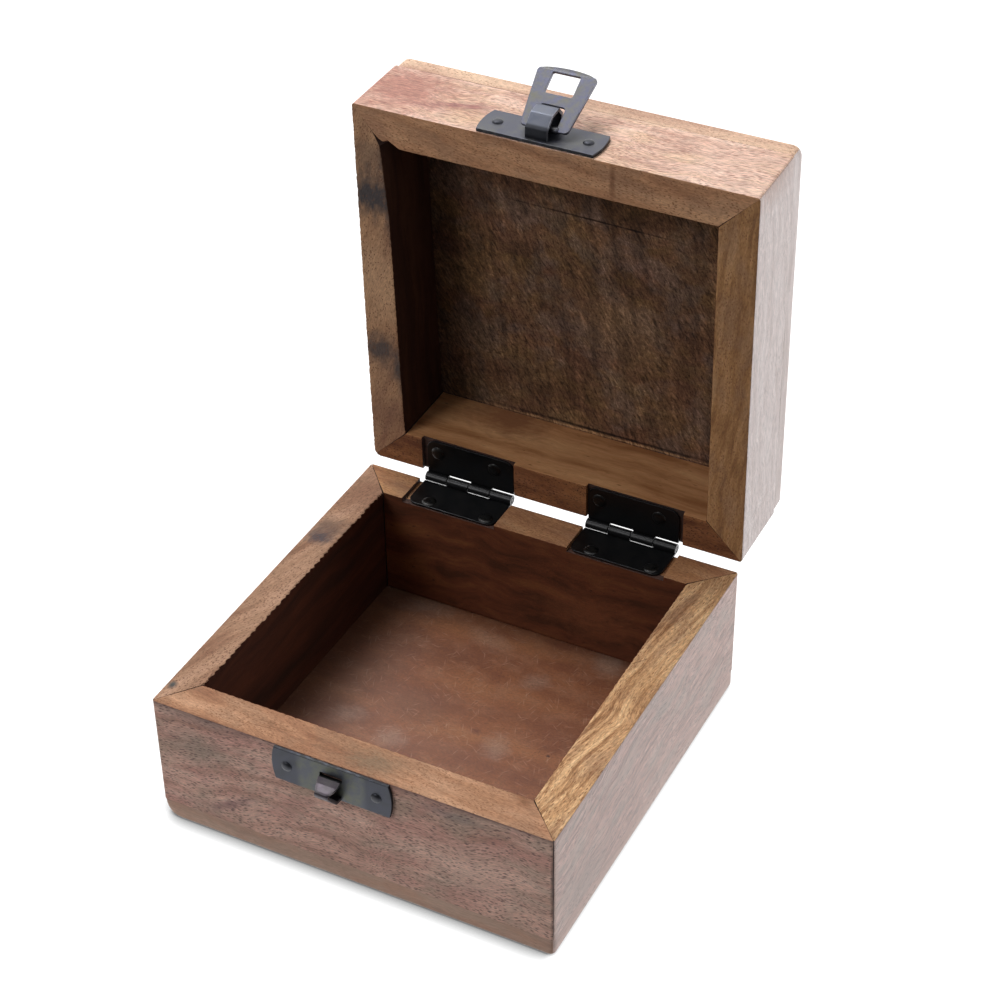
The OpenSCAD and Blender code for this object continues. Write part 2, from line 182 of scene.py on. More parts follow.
# %% Tones laid over a colour, and shade
def tinted(tree, colour, tone, cloud, start=0, stop=1, most=1):
    """Lays a tone over a colour: none of it where the cloud is at start, and the share most at stop."""
    amount = add(tree, "ShaderNodeMapRange", {"Value": cloud, "From Min": start, "From Max": stop,
                                              "To Max": most})
    return add(tree, "ShaderNodeMix", {0: amount.outputs[0], 6: colour, 7: linear(tone)},
               data_type="RGBA").outputs[2]


def shaded(tree, colour, cloud, start, stop, low, high=1):
    """Multiplies a colour by low where the cloud is at start, and by high where it is at stop."""
    shade = add(tree, "ShaderNodeMapRange", {"Value": cloud, "From Min": start, "From Max": stop,
                                             "To Min": low, "To Max": high})
    return add(tree, "ShaderNodeVectorMath", {0: colour, "Scale": shade.outputs[0]},
               operation="SCALE").outputs[0]


print("helpers ready:", tinted.__name__, "and", shaded.__name__)

# %% [markdown]
# ## Bright surroundings, plain light
# The box stands in a light tent that is brighter than a screen can show. Turning up the light would
# wash out the box as well, so nodes ask what kind of ray arrives: the camera sees white, reflections
# see a pale haze, and the light that bounces on the box stays plain.

# %% Brightness for each kind of ray
GLOW_SEEN = 1.3
GLOW_REFLECTED = 2.4
ROOM_REFLECTED = 0.15
FILL = 0.12


def brightness_by_ray(tree, seen, reflected, lighting):
    """One level for the camera, another for reflections, and a third for light that bounces."""
    path = add(tree, "ShaderNodeLightPath")
    clear = add(tree, "ShaderNodeMath", {0: path.outputs["Is Camera Ray"],
                                         1: path.outputs["Is Transmission Ray"]}, operation="MAXIMUM")
    level = add(tree, "ShaderNodeMapRange", {"Value": path.outputs["Is Glossy Ray"], "To Min": lighting,
                                             "To Max": reflected})
    return add(tree, "ShaderNodeMix", {0: clear.outputs[0], 2: level.outputs[0], 3: seen}).outputs[0]


print(f"white shows at {GLOW_SEEN} and is reflected at {GLOW_REFLECTED}")

# %% [markdown]
# ## The sweep
# One large square just under the panel is enough for a floor, and it isn't part of the box.

# %% The sweep
FLOOR_SIZE = 8000
FLOOR_DROP = 0.02

floor_mesh = bpy.data.meshes.new("studio_floor")
half_floor = FLOOR_SIZE / 2 * MM
floor_mesh.from_pydata(
    [(x * half_floor, y * half_floor, -FLOOR_DROP * MM) for x, y in ((-1, -1), (1, -1), (1, 1), (-1, 1))],
    [],
    [(0, 1, 2, 3)],
)
floor = bpy.data.objects.new("studio_floor", floor_mesh)
bpy.context.scene.collection.objects.link(floor)
print("sweep:", FLOOR_SIZE / 1000, "m wide")

# %% [markdown]
# ## White vinyl
# The sweep is matt white vinyl. It looks white up to a soft shadow at the foot of the box, which
# ambient occlusion finds where the box is near. Beside the right boards that shadow is left out,
# because a lamp shines under their eased edge. The room in front of the sweep is dark, and a
# reflection that points there shows it.

# %% White vinyl, with a soft shadow at the foot of the box
FOOT_SHADOW_MM = 7
FOOT_SHADOW_FROM = Vector((0.85, 0.45, 0.25)).normalized()
DARK_ROOM_Y = (-0.22, -0.07)
LIT_SIDE_X = (0.048, 0.051)
FOOT_DARK, FOOT_LIT = 0.2, 1.22
FOOT_OPEN = (0.4, 0.86)

white_vinyl, tree = new_material("white_vinyl_sweep")
matt = add(tree, "ShaderNodeBsdfDiffuse", {"Color": linear("#8c8c8f")})
spot = add(tree, "ShaderNodeSeparateXYZ", {0: add(tree, "ShaderNodeNewGeometry").outputs["Position"]})
near = add(tree, "ShaderNodeMapRange", {"Value": spot.outputs["Y"], "From Min": DARK_ROOM_Y[0],
                                        "From Max": DARK_ROOM_Y[1], "To Min": ROOM_REFLECTED,
                                        "To Max": GLOW_REFLECTED})
lit_side = add(tree, "ShaderNodeMapRange", {"Value": spot.outputs["X"], "From Min": LIT_SIDE_X[0],
                                            "From Max": LIT_SIDE_X[1], "To Min": FOOT_DARK,
                                            "To Max": FOOT_LIT})
foot = add(tree, "ShaderNodeAmbientOcclusion", {"Distance": FOOT_SHADOW_MM * MM, "Normal": FOOT_SHADOW_FROM},
           samples=16)
foot = add(tree, "ShaderNodeMapRange", {"Value": foot.outputs["AO"], "From Min": FOOT_OPEN[0],
                                        "From Max": FOOT_OPEN[1], "To Min": lit_side.outputs[0],
                                        "To Max": GLOW_SEEN})
glow = add(tree, "ShaderNodeEmission", {
    "Color": (1, 1, 1, 1), "Strength": brightness_by_ray(tree, foot.outputs[0], near.outputs[0], 0),
})
mixed = add(tree, "ShaderNodeMixShader", {0: brightness_by_ray(tree, 1, 1, 0), 1: matt.outputs[0],
                                          2: glow.outputs[0]})
add(tree, "ShaderNodeOutputMaterial", {"Surface": mixed.outputs[0]})
floor_mesh.materials.append(white_vinyl)
print("foot shadow:", FOOT_SHADOW_MM, "mm wide")

# %% [markdown]
# ## The tent
# The world stands in for the tent's cloth: white to look at, pale in reflections from the sides and
# the back, dark towards the room in front, and a weak fill for the shadows.

# %% The light tent around it
TENT_FRONT = (-0.6, -0.1)

world = bpy.data.worlds.new("light_tent")
bpy.context.scene.world = world
world.use_nodes = True
world.node_tree.nodes.clear()
tree = world.node_tree
way = add(tree, "ShaderNodeSeparateXYZ", {0: add(tree, "ShaderNodeTexCoord").outputs["Generated"]})
behind = add(tree, "ShaderNodeMapRange", {"Value": way.outputs["Y"], "From Min": TENT_FRONT[0],
                                          "From Max": TENT_FRONT[1], "To Min": ROOM_REFLECTED,
                                          "To Max": GLOW_REFLECTED})
tent = add(tree, "ShaderNodeBackground", {
    "Color": (1, 1, 1, 1), "Strength": brightness_by_ray(tree, GLOW_SEEN, behind.outputs[0], FILL),
})
add(tree, "ShaderNodeOutputWorld", {"Surface": tent.outputs[0]})
print("tent fills the shadows with", FILL)

# %% [markdown]
# ## Lamps
# The main softbox hangs above, a little behind the box and to the left, so each cavity darkens
# towards its left board. A weaker one at the front left lifts the front, and a low one on the right
# gives the right boards their pale sheen. Each lamp's power follows from its distance, so that its
# level is the share of full light that it throws on a surface that faces it.

# %% Softboxes: place, size and level
SOFTBOXES = {
    "softbox_above": ((-350, 230, 860), 460, 0.84),
    "softbox_front_left": ((-430, -600, 600), 420, 0.40),
    "softbox_right": ((600, 330, 200), 260, 0.37),
}
for name, (place, size, level) in SOFTBOXES.items():
    lamp = bpy.data.lights.new(name, "AREA")
    lamp.size = size * MM
    away = (Vector(place) - AIM) * MM
    lamp.energy = level * math.pi ** 2 * away.length_squared
    holder = bpy.data.objects.new(name, lamp)
    facing_box = (-away).to_track_quat("-Z", "Y").to_matrix().to_4x4()
    holder.matrix_world = Matrix.Translation(Vector(place) * MM) @ facing_box
    bpy.context.scene.collection.objects.link(holder)
print("lamps:", ", ".join(SOFTBOXES))

# %% [markdown]
# ## Blocks of small squares
# A plain cube can't show torn fibres, hand-sanded faces or a chopped hinge seat. So every piece of
# wood starts as a box whose six faces are divided into small squares, and a shape function then
# moves each point to its real place. Each face remembers what it is: outer face, rim, inner face,
# or a face of a joint.

# %% A block
OUTER, RIM, INNER, JOINT = range(4)


def block(name, xs, ys, zs, shape):
    """Mesh of a box divided at xs, ys and zs, in mm, and moved by shape. Also gives the box's points."""
    counts = (len(xs), len(ys), len(zs))
    on_skin = np.zeros(counts, bool)
    for axis in range(3):
        for end in (0, -1):
            on_skin[tuple(end if i == axis else slice(None) for i in range(3))] = True
    number = np.full(counts, -1)
    number[on_skin] = np.arange(on_skin.sum())
    points = np.stack(np.meshgrid(xs, ys, zs, indexing="ij"), -1)[on_skin]
    quads, sides = [], []
    for axis, end, outward, side in (
        (1, 0, True, OUTER), (2, -1, True, RIM), (1, -1, False, INNER),
        (2, 0, False, JOINT), (0, 0, False, JOINT), (0, -1, True, JOINT),
    ):
        n = np.take(number, end, axis)
        face = np.stack([n[:-1, :-1], n[1:, :-1], n[1:, 1:], n[:-1, 1:]], -1).reshape(-1, 4)
        quads.append(face if outward else face[:, ::-1])
        sides += [side] * len(face)
    mesh = bpy.data.meshes.new(name)
    mesh.from_pydata((shape(points.copy()) * MM).tolist(), [], np.concatenate(quads).tolist())
    mesh.polygons.foreach_set("material_index", sides)
    return mesh, points


def levels(length, step, ends):
    """Divisions from 0 to length about step apart, with closer ones near both ends."""
    inner = np.linspace(ends[-1], length - ends[-1], max(2, round((length - 2 * ends[-1]) / step) + 1))
    return np.concatenate([[0], ends[:-1], inner, length - np.array(ends[:-1])[::-1], [length]])


print("levels across 9.5 mm:", levels(9.5, 0.9, (0.12, 0.35, 0.7)).round(2))

# %% [markdown]
# ## Uneven like handwork
# Unevenness comes from a smooth random field, which gives the same heights on every run, and no
# arris is left sharp.

# %% Random heights and rounded arrises
def field(points, size, seed):
    """Smooth random heights from -1 to 1, with hills about size millimetres long in each direction."""
    p = points / np.asarray(size, float) + seed * 17.3
    cell = np.floor(p)
    ease = (p - cell) ** 2 * (3 - 2 * (p - cell))
    heights = np.zeros(len(p))
    for corner in np.ndindex(2, 2, 2):
        spot = (cell + corner) @ (127.1, 311.7, 74.7) + seed
        value = np.modf(np.sin(spot) * 43758.5)[0]
        heights += value * np.prod(np.where(corner, ease, 1 - ease), axis=1)
    return heights


def rounded(a, b, radius):
    """Rounds the arris where a and b, the depths below two faces that meet, are both less than radius."""
    near = (a < radius) & (b < radius)
    da, db = a - radius, b - radius
    length = np.maximum(np.hypot(da, db), 1e-9)
    return (np.where(near, radius + da * radius / length, a),
            np.where(near, radius + db * radius / length, b))


def closeness(a, b, reach):
    """1 on the arris where the depths a and b are both 0, and less away from it, down to 0 at reach."""
    return np.clip(1 - np.hypot(a, b) / reach, 0, 1)


print("field at three points:", field(np.array([[0, 0, 0], [5, 0, 0], [9, 9, 9.0]]), 4, 2).round(2))

# %% [markdown]
# ## From mesh to piece
# Every finished mesh goes to its place, gets its materials and rides on its body, and the CAD node
# that it stands for is hidden. Sheet metal keeps its pressed edges crisper than wood does.

# %% Dress a CAD node
WOOD_SHARP = 38
SHEET_SHARP = 20


def dress(mesh, name, body, node, materials, pose=Matrix.Identity(4), sharp=WOOD_SHARP):
    """Makes a mesh a piece: posed, finished, riding on its body and standing for its CAD node."""
    piece = bpy.data.objects.new(name, mesh)
    bpy.context.scene.collection.objects.link(piece)
    piece.matrix_world = Matrix.Scale(MM, 4) @ pose @ Matrix.Scale(1 / MM, 4)
    for material in materials:
        mesh.materials.append(material)
    mesh.shade_smooth()
    mesh.set_sharp_from_angle(angle=math.radians(sharp))
    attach(piece, body)
    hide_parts(node)


print("edges show sharp from", WOOD_SHARP, "degrees, and on sheet metal from", SHEET_SHARP)

# %% [markdown]
# ## Open-pored wood
# The boards are an open-pored tropical hardwood, sawn, sanded and left bare. What the eye sees is a
# slow drift of tone along the grain, fine fibres, and short dark dashes where the vessels are cut.
# The real vessels are about 0.2 mm wide, too fine to show at this distance, so they are drawn two
# to three times as coarse.

# %% Grain, streaks and pores
DRIFT_MM = 24
PORE_CORE = (0.14, 0.42)
CROWD_MM = (14, 6)
CROWD_RANGE = (0.35, 0.65)


def along_grain(tree, here, seed, lean, wander):
    """Places in millimetres, moved by the seed, turned by lean and bent by a slow drift of the fibres."""
    at = add(tree, "ShaderNodeMapping", {"Vector": here, "Location": Vector((37.1, 11.7, 23.9)) * seed,
                                         "Rotation": [math.radians(a) for a in lean]}).outputs[0]
    drift = add(tree, "ShaderNodeTexNoise", {"Vector": at, "Scale": 1 / DRIFT_MM, "Detail": 2.0})
    drift = add(tree, "ShaderNodeVectorMath", {0: drift.outputs["Color"], 1: (0.5, 0.5, 0.5)},
                operation="SUBTRACT")
    return add(tree, "ShaderNodeVectorMath", {0: drift.outputs[0], 1: (1, wander, wander), 2: at},
               operation="MULTIPLY_ADD").outputs[0]


def streaks(tree, grain, along, across, detail=4.0, rough=0.6):
    """Cloud of tone that is drawn out along the grain, to these lengths in millimetres."""
    space = add(tree, "ShaderNodeVectorMath", {0: grain, 1: (1 / along, 1 / across, 1 / across)},
                operation="MULTIPLY")
    return add(tree, "ShaderNodeTexNoise", {"Vector": space.outputs[0], "Scale": 1.0, "Detail": detail,
                                            "Roughness": rough}).outputs[0]


def cut_pores(tree, grain, along, across, share):
    """Short dashes where vessels are cut open, from 0 to 1; they crowd together in places."""
    space = add(tree, "ShaderNodeVectorMath", {0: grain, 1: (1 / along, 1 / across, 1 / across)},
                operation="MULTIPLY")
    cells = add(tree, "ShaderNodeTexVoronoi", {"Vector": space.outputs[0], "Scale": 1.0})
    core = add(tree, "ShaderNodeMapRange", {"Value": cells.outputs["Distance"], "From Min": PORE_CORE[0],
                                            "From Max": PORE_CORE[1], "To Min": 1.0, "To Max": 0.0})
    crowd = add(tree, "ShaderNodeMapRange", {"Value": streaks(tree, grain, *CROWD_MM, 2.0),
                                             "From Min": CROWD_RANGE[0], "From Max": CROWD_RANGE[1],
                                             "To Min": 1 - 0.5 * share, "To Max": 1 - 1.3 * share})
    above = add(tree, "ShaderNodeMath", {0: cells.outputs["Color"], 1: crowd.outputs[0]},
                operation="SUBTRACT")
    depth = add(tree, "ShaderNodeMapRange", {"Value": above.outputs[0], "From Max": 0.35})
    return add(tree, "ShaderNodeMath", {0: core.outputs[0], 1: depth.outputs[0]},
               operation="MULTIPLY").outputs[0]


print("slow drift of the fibres:", DRIFT_MM, "mm")

# %% [markdown]
# ## Stains and painted shade
# Smoke, glue and damp leave soft patches with ragged edges. A few patches made in the same way are
# painted shade, where a corner of a cavity or a slot lies in shadow. Each is an ellipsoid in the
# piece's own space, so it lies on the face that it is laid on and runs round the arris.

# %% A stain, or a patch of painted shade
STAIN_OR_SHADE_EDGE = (1.7, 0.9)
STAIN_OR_SHADE_RAG = 1.3
STAIN_OR_SHADE_RAG_MM = (3, 1.6)


def stain_or_shade(centre, radii, tone, strength, turn=(0, 0, 0)):
    """A stain's or a painted shade's centre and radii in mm, how it is turned in degrees, its tone and its
    strength.
    """
    return centre, radii, turn, tone, strength


def laid_stain_or_shade(tree, colour, here, grain, centre, radii, turn, tone, strength):
    """Lays a stain or a painted shade over a colour; the grain makes its edge ragged."""
    away = add(tree, "ShaderNodeMapping", {"Vector": here, "Location": centre, "Scale": radii,
                                           "Rotation": [math.radians(a) for a in turn]},
               vector_type="TEXTURE")
    away = add(tree, "ShaderNodeVectorMath", {0: away.outputs[0]}, operation="LENGTH")
    edge = add(tree, "ShaderNodeMath", {0: streaks(tree, grain, *STAIN_OR_SHADE_RAG_MM), 1: STAIN_OR_SHADE_RAG,
                                        2: away.outputs["Value"]}, operation="MULTIPLY_ADD")
    return tinted(tree, colour, tone, edge.outputs[0], *STAIN_OR_SHADE_EDGE, strength)


print("a stain:", stain_or_shade((0, 0, 20), (5, 5, 3), "#423c3c", 0.8))

# %% [markdown]
# ## The wood recipe
# One recipe makes every sawn face, and each face gets its own tones, patches, stains, painted shade and
# pores.
# Wood has an IOR of about 1.5 and, bare, a roughness of 0.5 to 0.9. The height of fibres and pores
# is real relief, a few hundredths of a millimetre.

# %% Bare wood
BAND_DARK, BAND_MIDDLE, BAND_LIGHT = 0.34, 0.5, 0.68
PATCH_EDGE = (0.48, 0.62)
FIBRE_RANGE = (0.3, 0.7)
ARRIS_EDGE = (0, 0.55)
ARRIS_WEAR_MM = (7, 1.5)
WOOD_IOR = 1.5


def bare_wood(name, seed, dark, middle, light, pore, patches=(), stains_and_shades=(), lean=(0, 0, 0), wander=6,
              band_mm=(45, 4.5), pore_mm=(1.9, 0.6), pore_share=0.9, fibre=0.26, fibre_mm=(2.6, 0.3),
              roughness=0.7, gloss=0.5, relief=0.05, arris=None, finish=None):
    """Sawn and sanded hardwood with its grain along X. Sizes are in millimetres, colours are hex."""
    material, tree = new_material(name)
    place = add(tree, "ShaderNodeTexCoord").outputs["Object"]
    here = add(tree, "ShaderNodeVectorMath", {0: place, "Scale": 1 / MM}, operation="SCALE").outputs[0]
    grain = along_grain(tree, here, seed, lean, wander)

    band = streaks(tree, grain, *band_mm)
    colour = tinted(tree, linear(dark), middle, band, BAND_DARK, BAND_MIDDLE)
    colour = tinted(tree, colour, light, band, BAND_MIDDLE, BAND_LIGHT)
    for tone, along, across, share in patches:
        colour = tinted(tree, colour, tone, streaks(tree, grain, along, across, 3.0), *PATCH_EDGE, share)
    for each in stains_and_shades:
        colour = laid_stain_or_shade(tree, colour, here, grain, *each)

    fibres = streaks(tree, grain, *fibre_mm, 4.0, 0.75)
    colour = shaded(tree, colour, fibres, *FIBRE_RANGE, 1 - fibre, 1 + fibre)
    if arris:
        worn = add(tree, "ShaderNodeAttribute", attribute_name="arris")
        wear = streaks(tree, grain, *ARRIS_WEAR_MM)
        amount = add(tree, "ShaderNodeMath", {0: worn.outputs["Fac"], 1: wear}, operation="MULTIPLY")
        colour = tinted(tree, colour, arris, amount.outputs[0], *ARRIS_EDGE)
    pores = cut_pores(tree, grain, *pore_mm, pore_share)
    colour = tinted(tree, colour, pore, pores)

    height = add(tree, "ShaderNodeMath", {0: fibres, 1: pores}, operation="SUBTRACT").outputs[0]
    if finish:
        colour, height = finish(tree, here, colour, height)
    bump = add(tree, "ShaderNodeBump", {"Height": height, "Distance": relief * MM, "Strength": 1.0})
    surface = add(tree, "ShaderNodeBsdfPrincipled", {
        "Base Color": colour, "Roughness": roughness, "IOR": WOOD_IOR, "Specular IOR Level": gloss,
        "Normal": bump.outputs[0],
    })
    add(tree, "ShaderNodeOutputMaterial", {"Surface": surface.outputs[0]})
    return material


sawn_joint = bare_wood("sawn_hardwood_joint", 4, "#2a1710", "#38211a", "#462b20", "#1a0e0a")
print("wood for joints:", sawn_joint.name, "with", len(sawn_joint.node_tree.nodes), "nodes")

# %% [markdown]
# ## Hinge seats
# The hinges lie in shallow seats that were chopped in both back boards with a chisel. The CAD
# model's back board says where they start and end, and how deep they are.

# %% Hinge seats, read from the base's back board
seat_floor = [v.co / MM for v in frame["nodes"]["base_back_board"].data.vertices
              if RIM_Z - 2 < v.co.z / MM < RIM_Z - 0.01]
SEAT_DEPTH = RIM_Z - min(p.z for p in seat_floor)
SEATS = []
for side in (-1, 1):
    found = [p.x for p in seat_floor if p.x * side > 0]
    SEATS.append((min(found), max(found)))
print(f"hinge seats {SEAT_DEPTH:.2f} mm deep at", [(round(a, 1), round(b, 1)) for a, b in SEATS])

# %% [markdown]
# ## Mitred boards
# Each board is drawn along X from its middle, with Y running in from its outer face and Z from the
# panel to the rim. Both ends are cut at 45 degrees, so a layer deeper in the board is shorter. The
# mitres were glued by hand and never close fully: a hair of shadow is left between the boards.
# A coarse saw tore the arrises, a plane took more off one end than off the other, and some corners
# have lost a chip.

# %% Sizes of a board's details
BOARD_STEP = 0.5
ACROSS_STEP = 0.9
RISE_STEP = 1.0
END_LEVELS = (0.12, 0.25, 0.4, 0.6, 0.8, 1.0, 1.2, 1.5, 2, 2.5)
CORNER_R = 1.2
ARRIS_R = 0.35
FOOT_R = 0.02
ARRIS_LEVELS = (0.12, ARRIS_R, 0.7)
SEAT_CUT = 0.03
TEAR_REACH = 0.9
WORN_REACH = 1.2
MITRE_GAP = 0.07
MITRE_SPREAD = 0.14
MITRE_HOLD = 2
CHIP_SPREAD = 3.2
print("a board is divided every", BOARD_STEP, "mm, and closer at its ends")

# %% [markdown]
# ## Seats and arrises
# A seat lowers the rim by its depth, and the levels below it are squeezed, so that the squares on
# its walls stay even. The arris on the glue line at the foot is nearly sharp, the others are eased.

# %% Chop the seats and ease the arrises
def chop_seats(x, rise, height, seats):
    """Lowers the rim where the hinges lie."""
    upper = height - 3 * SEAT_DEPTH
    for low, high in seats:
        inside = (x > low) & (x < high) & (rise > upper)
        rise = np.where(inside, upper + (rise - upper) * 2 / 3, rise)
    return rise


def ease_arrises(depth, rise, height):
    """Rounds the board's four long arrises."""
    depth, top = rounded(depth, height - rise, ARRIS_R)
    inward, top = rounded(WALL - depth, top, ARRIS_R)
    inward, foot = rounded(inward, height - top, ARRIS_R)
    return rounded(WALL - inward, foot, FOOT_R)


print("a point on the rim's arris moves to", [round(float(v), 2) for v in ease_arrises(0.0, BASE_H, BASE_H)])

# %% [markdown]
# ## Torn and sanded
# The saw tore short fibres off both arrises of the rim, and most off the inner one. The outer face
# and the rim were then sanded by hand, which leaves slow hollows and short waves.

# %% Tear and sand
TORN_FINE_MM, TORN_FINE = 0.5, 0.8
TORN_COARSE_MM, TORN_COARSE = 2.3, 0.35
HOLLOW_MM, HOLLOW_DEPTH = (26, 12, 12), 0.05
RIPPLE_MM, RIPPLE_DEPTH = (5, 2, 2), 0.015


def tear_arrises(grid, depth, rise, height, seed, outer_rag, inner_rag):
    """Tears fibres off the two arrises of the rim; the rags say how far."""
    line = grid * (1, 0, 0)
    torn = TORN_FINE * field(line, TORN_FINE_MM, seed) + TORN_COARSE * field(line, TORN_COARSE_MM, seed + 1)
    inner = inner_rag * closeness(WALL - grid[:, 1], height - grid[:, 2], TEAR_REACH)
    outer = outer_rag * closeness(grid[:, 1], height - grid[:, 2], TEAR_REACH)
    return depth + inner * torn + outer * np.abs(torn), rise - (inner + outer) * 0.6 * np.abs(torn)


def sand_by_hand(grid, depth, rise, height, seed):
    """Sands hollows into the outer face and the rim."""
    hollow = HOLLOW_DEPTH * (1 + field(grid, HOLLOW_MM, seed + 2))
    hollow = hollow + RIPPLE_DEPTH * (1 + field(grid, RIPPLE_MM, seed + 3))
    depth = depth + np.where(grid[:, 1] < 1e-6, hollow, 0)
    return depth, rise - np.where(grid[:, 2] > height - 1e-6, hollow, 0)


print("tears reach", TEAR_REACH, "mm from the arris, hollows are up to", 2 * HOLLOW_DEPTH, "mm deep")

# %% [markdown]
# ## Mitres and chips
# Points near an end are drawn in, the more the deeper they lie, until the end slants at 45 degrees.
# Where a board was planed thinner, the one that it meets keeps its full mitre, so they still close.

# %% Cut the mitres and lose a chip
def cut_mitres(x, depth, gap, half, ends, thin, meets):
    """Cuts both ends at 45 degrees, less the gap, and rounds the upright corners by the radii in ends.

    thin says how much is planed off the inner face at each end, and meets the same of the boards it meets.
    """
    full = depth
    depth = depth * (1 - np.interp(x, (-half, half), thin) / WALL)
    hold = half - WALL - MITRE_HOLD
    for side, corner, met in zip((-1, 1), ends, meets):
        near = side * x > hold
        end = half - np.maximum(full * (1 - met / WALL), corner * (1 - math.sqrt(0.5))) - gap
        stretched = hold + (side * x - hold) * (end - hold) / (half - hold)
        x = np.where(near, side * stretched, x)
        over = np.clip(side * x - (half - corner), 0, corner)
        depth = np.maximum(depth, corner - np.sqrt(corner ** 2 - over ** 2))
    return x, depth


def lose_chips(grid, x, depth, rise, height, chips):
    """Breaks chips off the rim's inner arris; each has its place along the board, its reach and its depth."""
    below = closeness(WALL - grid[:, 1], height - grid[:, 2], CHIP_SPREAD)
    for where, reach, bite in chips:
        lost = bite * np.clip(1 - np.abs(x - where) / reach, 0, 1) * below
        depth, rise = depth - lost, rise - 0.15 * lost
    return depth, rise


print("mitres stand open by", MITRE_GAP, "mm outside and", MITRE_GAP + MITRE_SPREAD, "mm inside")

# %% [markdown]
# ## A board, step by step
# The steps follow the maker's: chop the seats, ease the arrises, tear some fibres, sand by hand, cut
# the mitres and lose a chip. Afterwards the faces inside a seat are marked as sawn wood, and the
# outer arris is marked as worn.

# %% A mitred board
def board(name, length, height, seed, seats=(), outer_rag=0.05, inner_rag=0.08, ends=(CORNER_R, CORNER_R),
          thin=(0, 0), meets=(0, 0), chips=(), dark_seats=False, open_mitre=MITRE_GAP):
    """Mesh of a mitred board. seats are x ranges chopped for hinges; dark_seats also saws their floors."""
    half = length / 2
    cuts = [x + way for seat in seats for x in seat for way in (-SEAT_CUT, SEAT_CUT)]
    xs = np.unique(np.concatenate([levels(length, BOARD_STEP, END_LEVELS) - half, cuts]).round(3))

    def shape(grid):
        x, depth, rise = grid.T
        rise = chop_seats(x, rise, height, seats)
        depth, rise = ease_arrises(depth, rise, height)
        depth, rise = tear_arrises(grid, depth, rise, height, seed, outer_rag, inner_rag)
        depth, rise = sand_by_hand(grid, depth, rise, height, seed)
        gap = open_mitre * (1 + 0.8 * field(grid, (60, 3, 5), seed + 4)) + MITRE_SPREAD * (depth / WALL) ** 2
        x, depth = cut_mitres(x, depth, gap, half, ends, thin, meets)
        depth, rise = lose_chips(grid, x, depth, rise, height, chips)
        return np.column_stack([x, depth, rise])

    ys, zs = levels(WALL, ACROSS_STEP, ARRIS_LEVELS), levels(height, RISE_STEP, ARRIS_LEVELS)
    mesh, points = block(name, xs, ys, zs, shape)
    for face in mesh.polygons:
        x, y, z = face.center / MM
        chopped = z > height - SEAT_DEPTH - 0.2 and any(low < x < high for low, high in seats)
        if chopped and (dark_seats or abs(face.normal.z) < 0.7 or y > WALL - 1.3):
            face.material_index = JOINT
    worn = closeness(points[:, 1], height - points[:, 2], WORN_REACH)
    mesh.attributes.new("arris", "FLOAT", "POINT").data.foreach_set("value", worn)
    return mesh


print("boards are", round(WALL, 2), "mm thick, with arrises of", ARRIS_R, "mm")

# %% [markdown]
# ## Where the boards stand
# The four boards of a frame are the same drawing turned by quarters. The lid's boards are turned
# over as well, because their rims face down while the lid is closed.

# %% Places of the boards
def base_place(side):
    """Where a base board stands: side 0 is the front, 1 the right, 2 the back and 3 the left."""
    out = BOX_D / 2 if side % 2 == 0 else BOX_W / 2
    return Matrix.Rotation(math.pi / 2 * side, 4, "Z") @ Matrix.Translation((0, -out, PANEL_T))


def lid_place(side):
    """Where a lid board stands, its rim down while the lid is closed, and swung with the lid."""
    out = BOX_D / 2 if side % 2 == 0 else BOX_W / 2
    turned_over = Matrix.Translation((0, -out, LID_RIM_Z + LID_H)) @ Matrix.Rotation(math.pi, 4, "Y")
    return LID_POSE @ Matrix.Rotation(math.pi / 2 * side, 4, "Z") @ turned_over


print("front board of the base at", base_place(0).translation[:])

# %% [markdown]
# ## Panels
# A flat panel is glued under the base, and one over the lid. Their outer edges were eased on a
# sander: a quarter round towards the outside, and a small arris towards the boards. The same block
# makes them, and its faces are sorted afterwards, because the edge on the right of the box gets the
# greyer tones of the right boards, which paint in part of the sheen of grazing light there.

# %% A panel
EASED_R = 1.0
EDGE_LEVELS = (0.25, 0.5, 0.8, 1.2, 2)
PANEL_STEP = 1.1
PANEL_INSET = 0.11


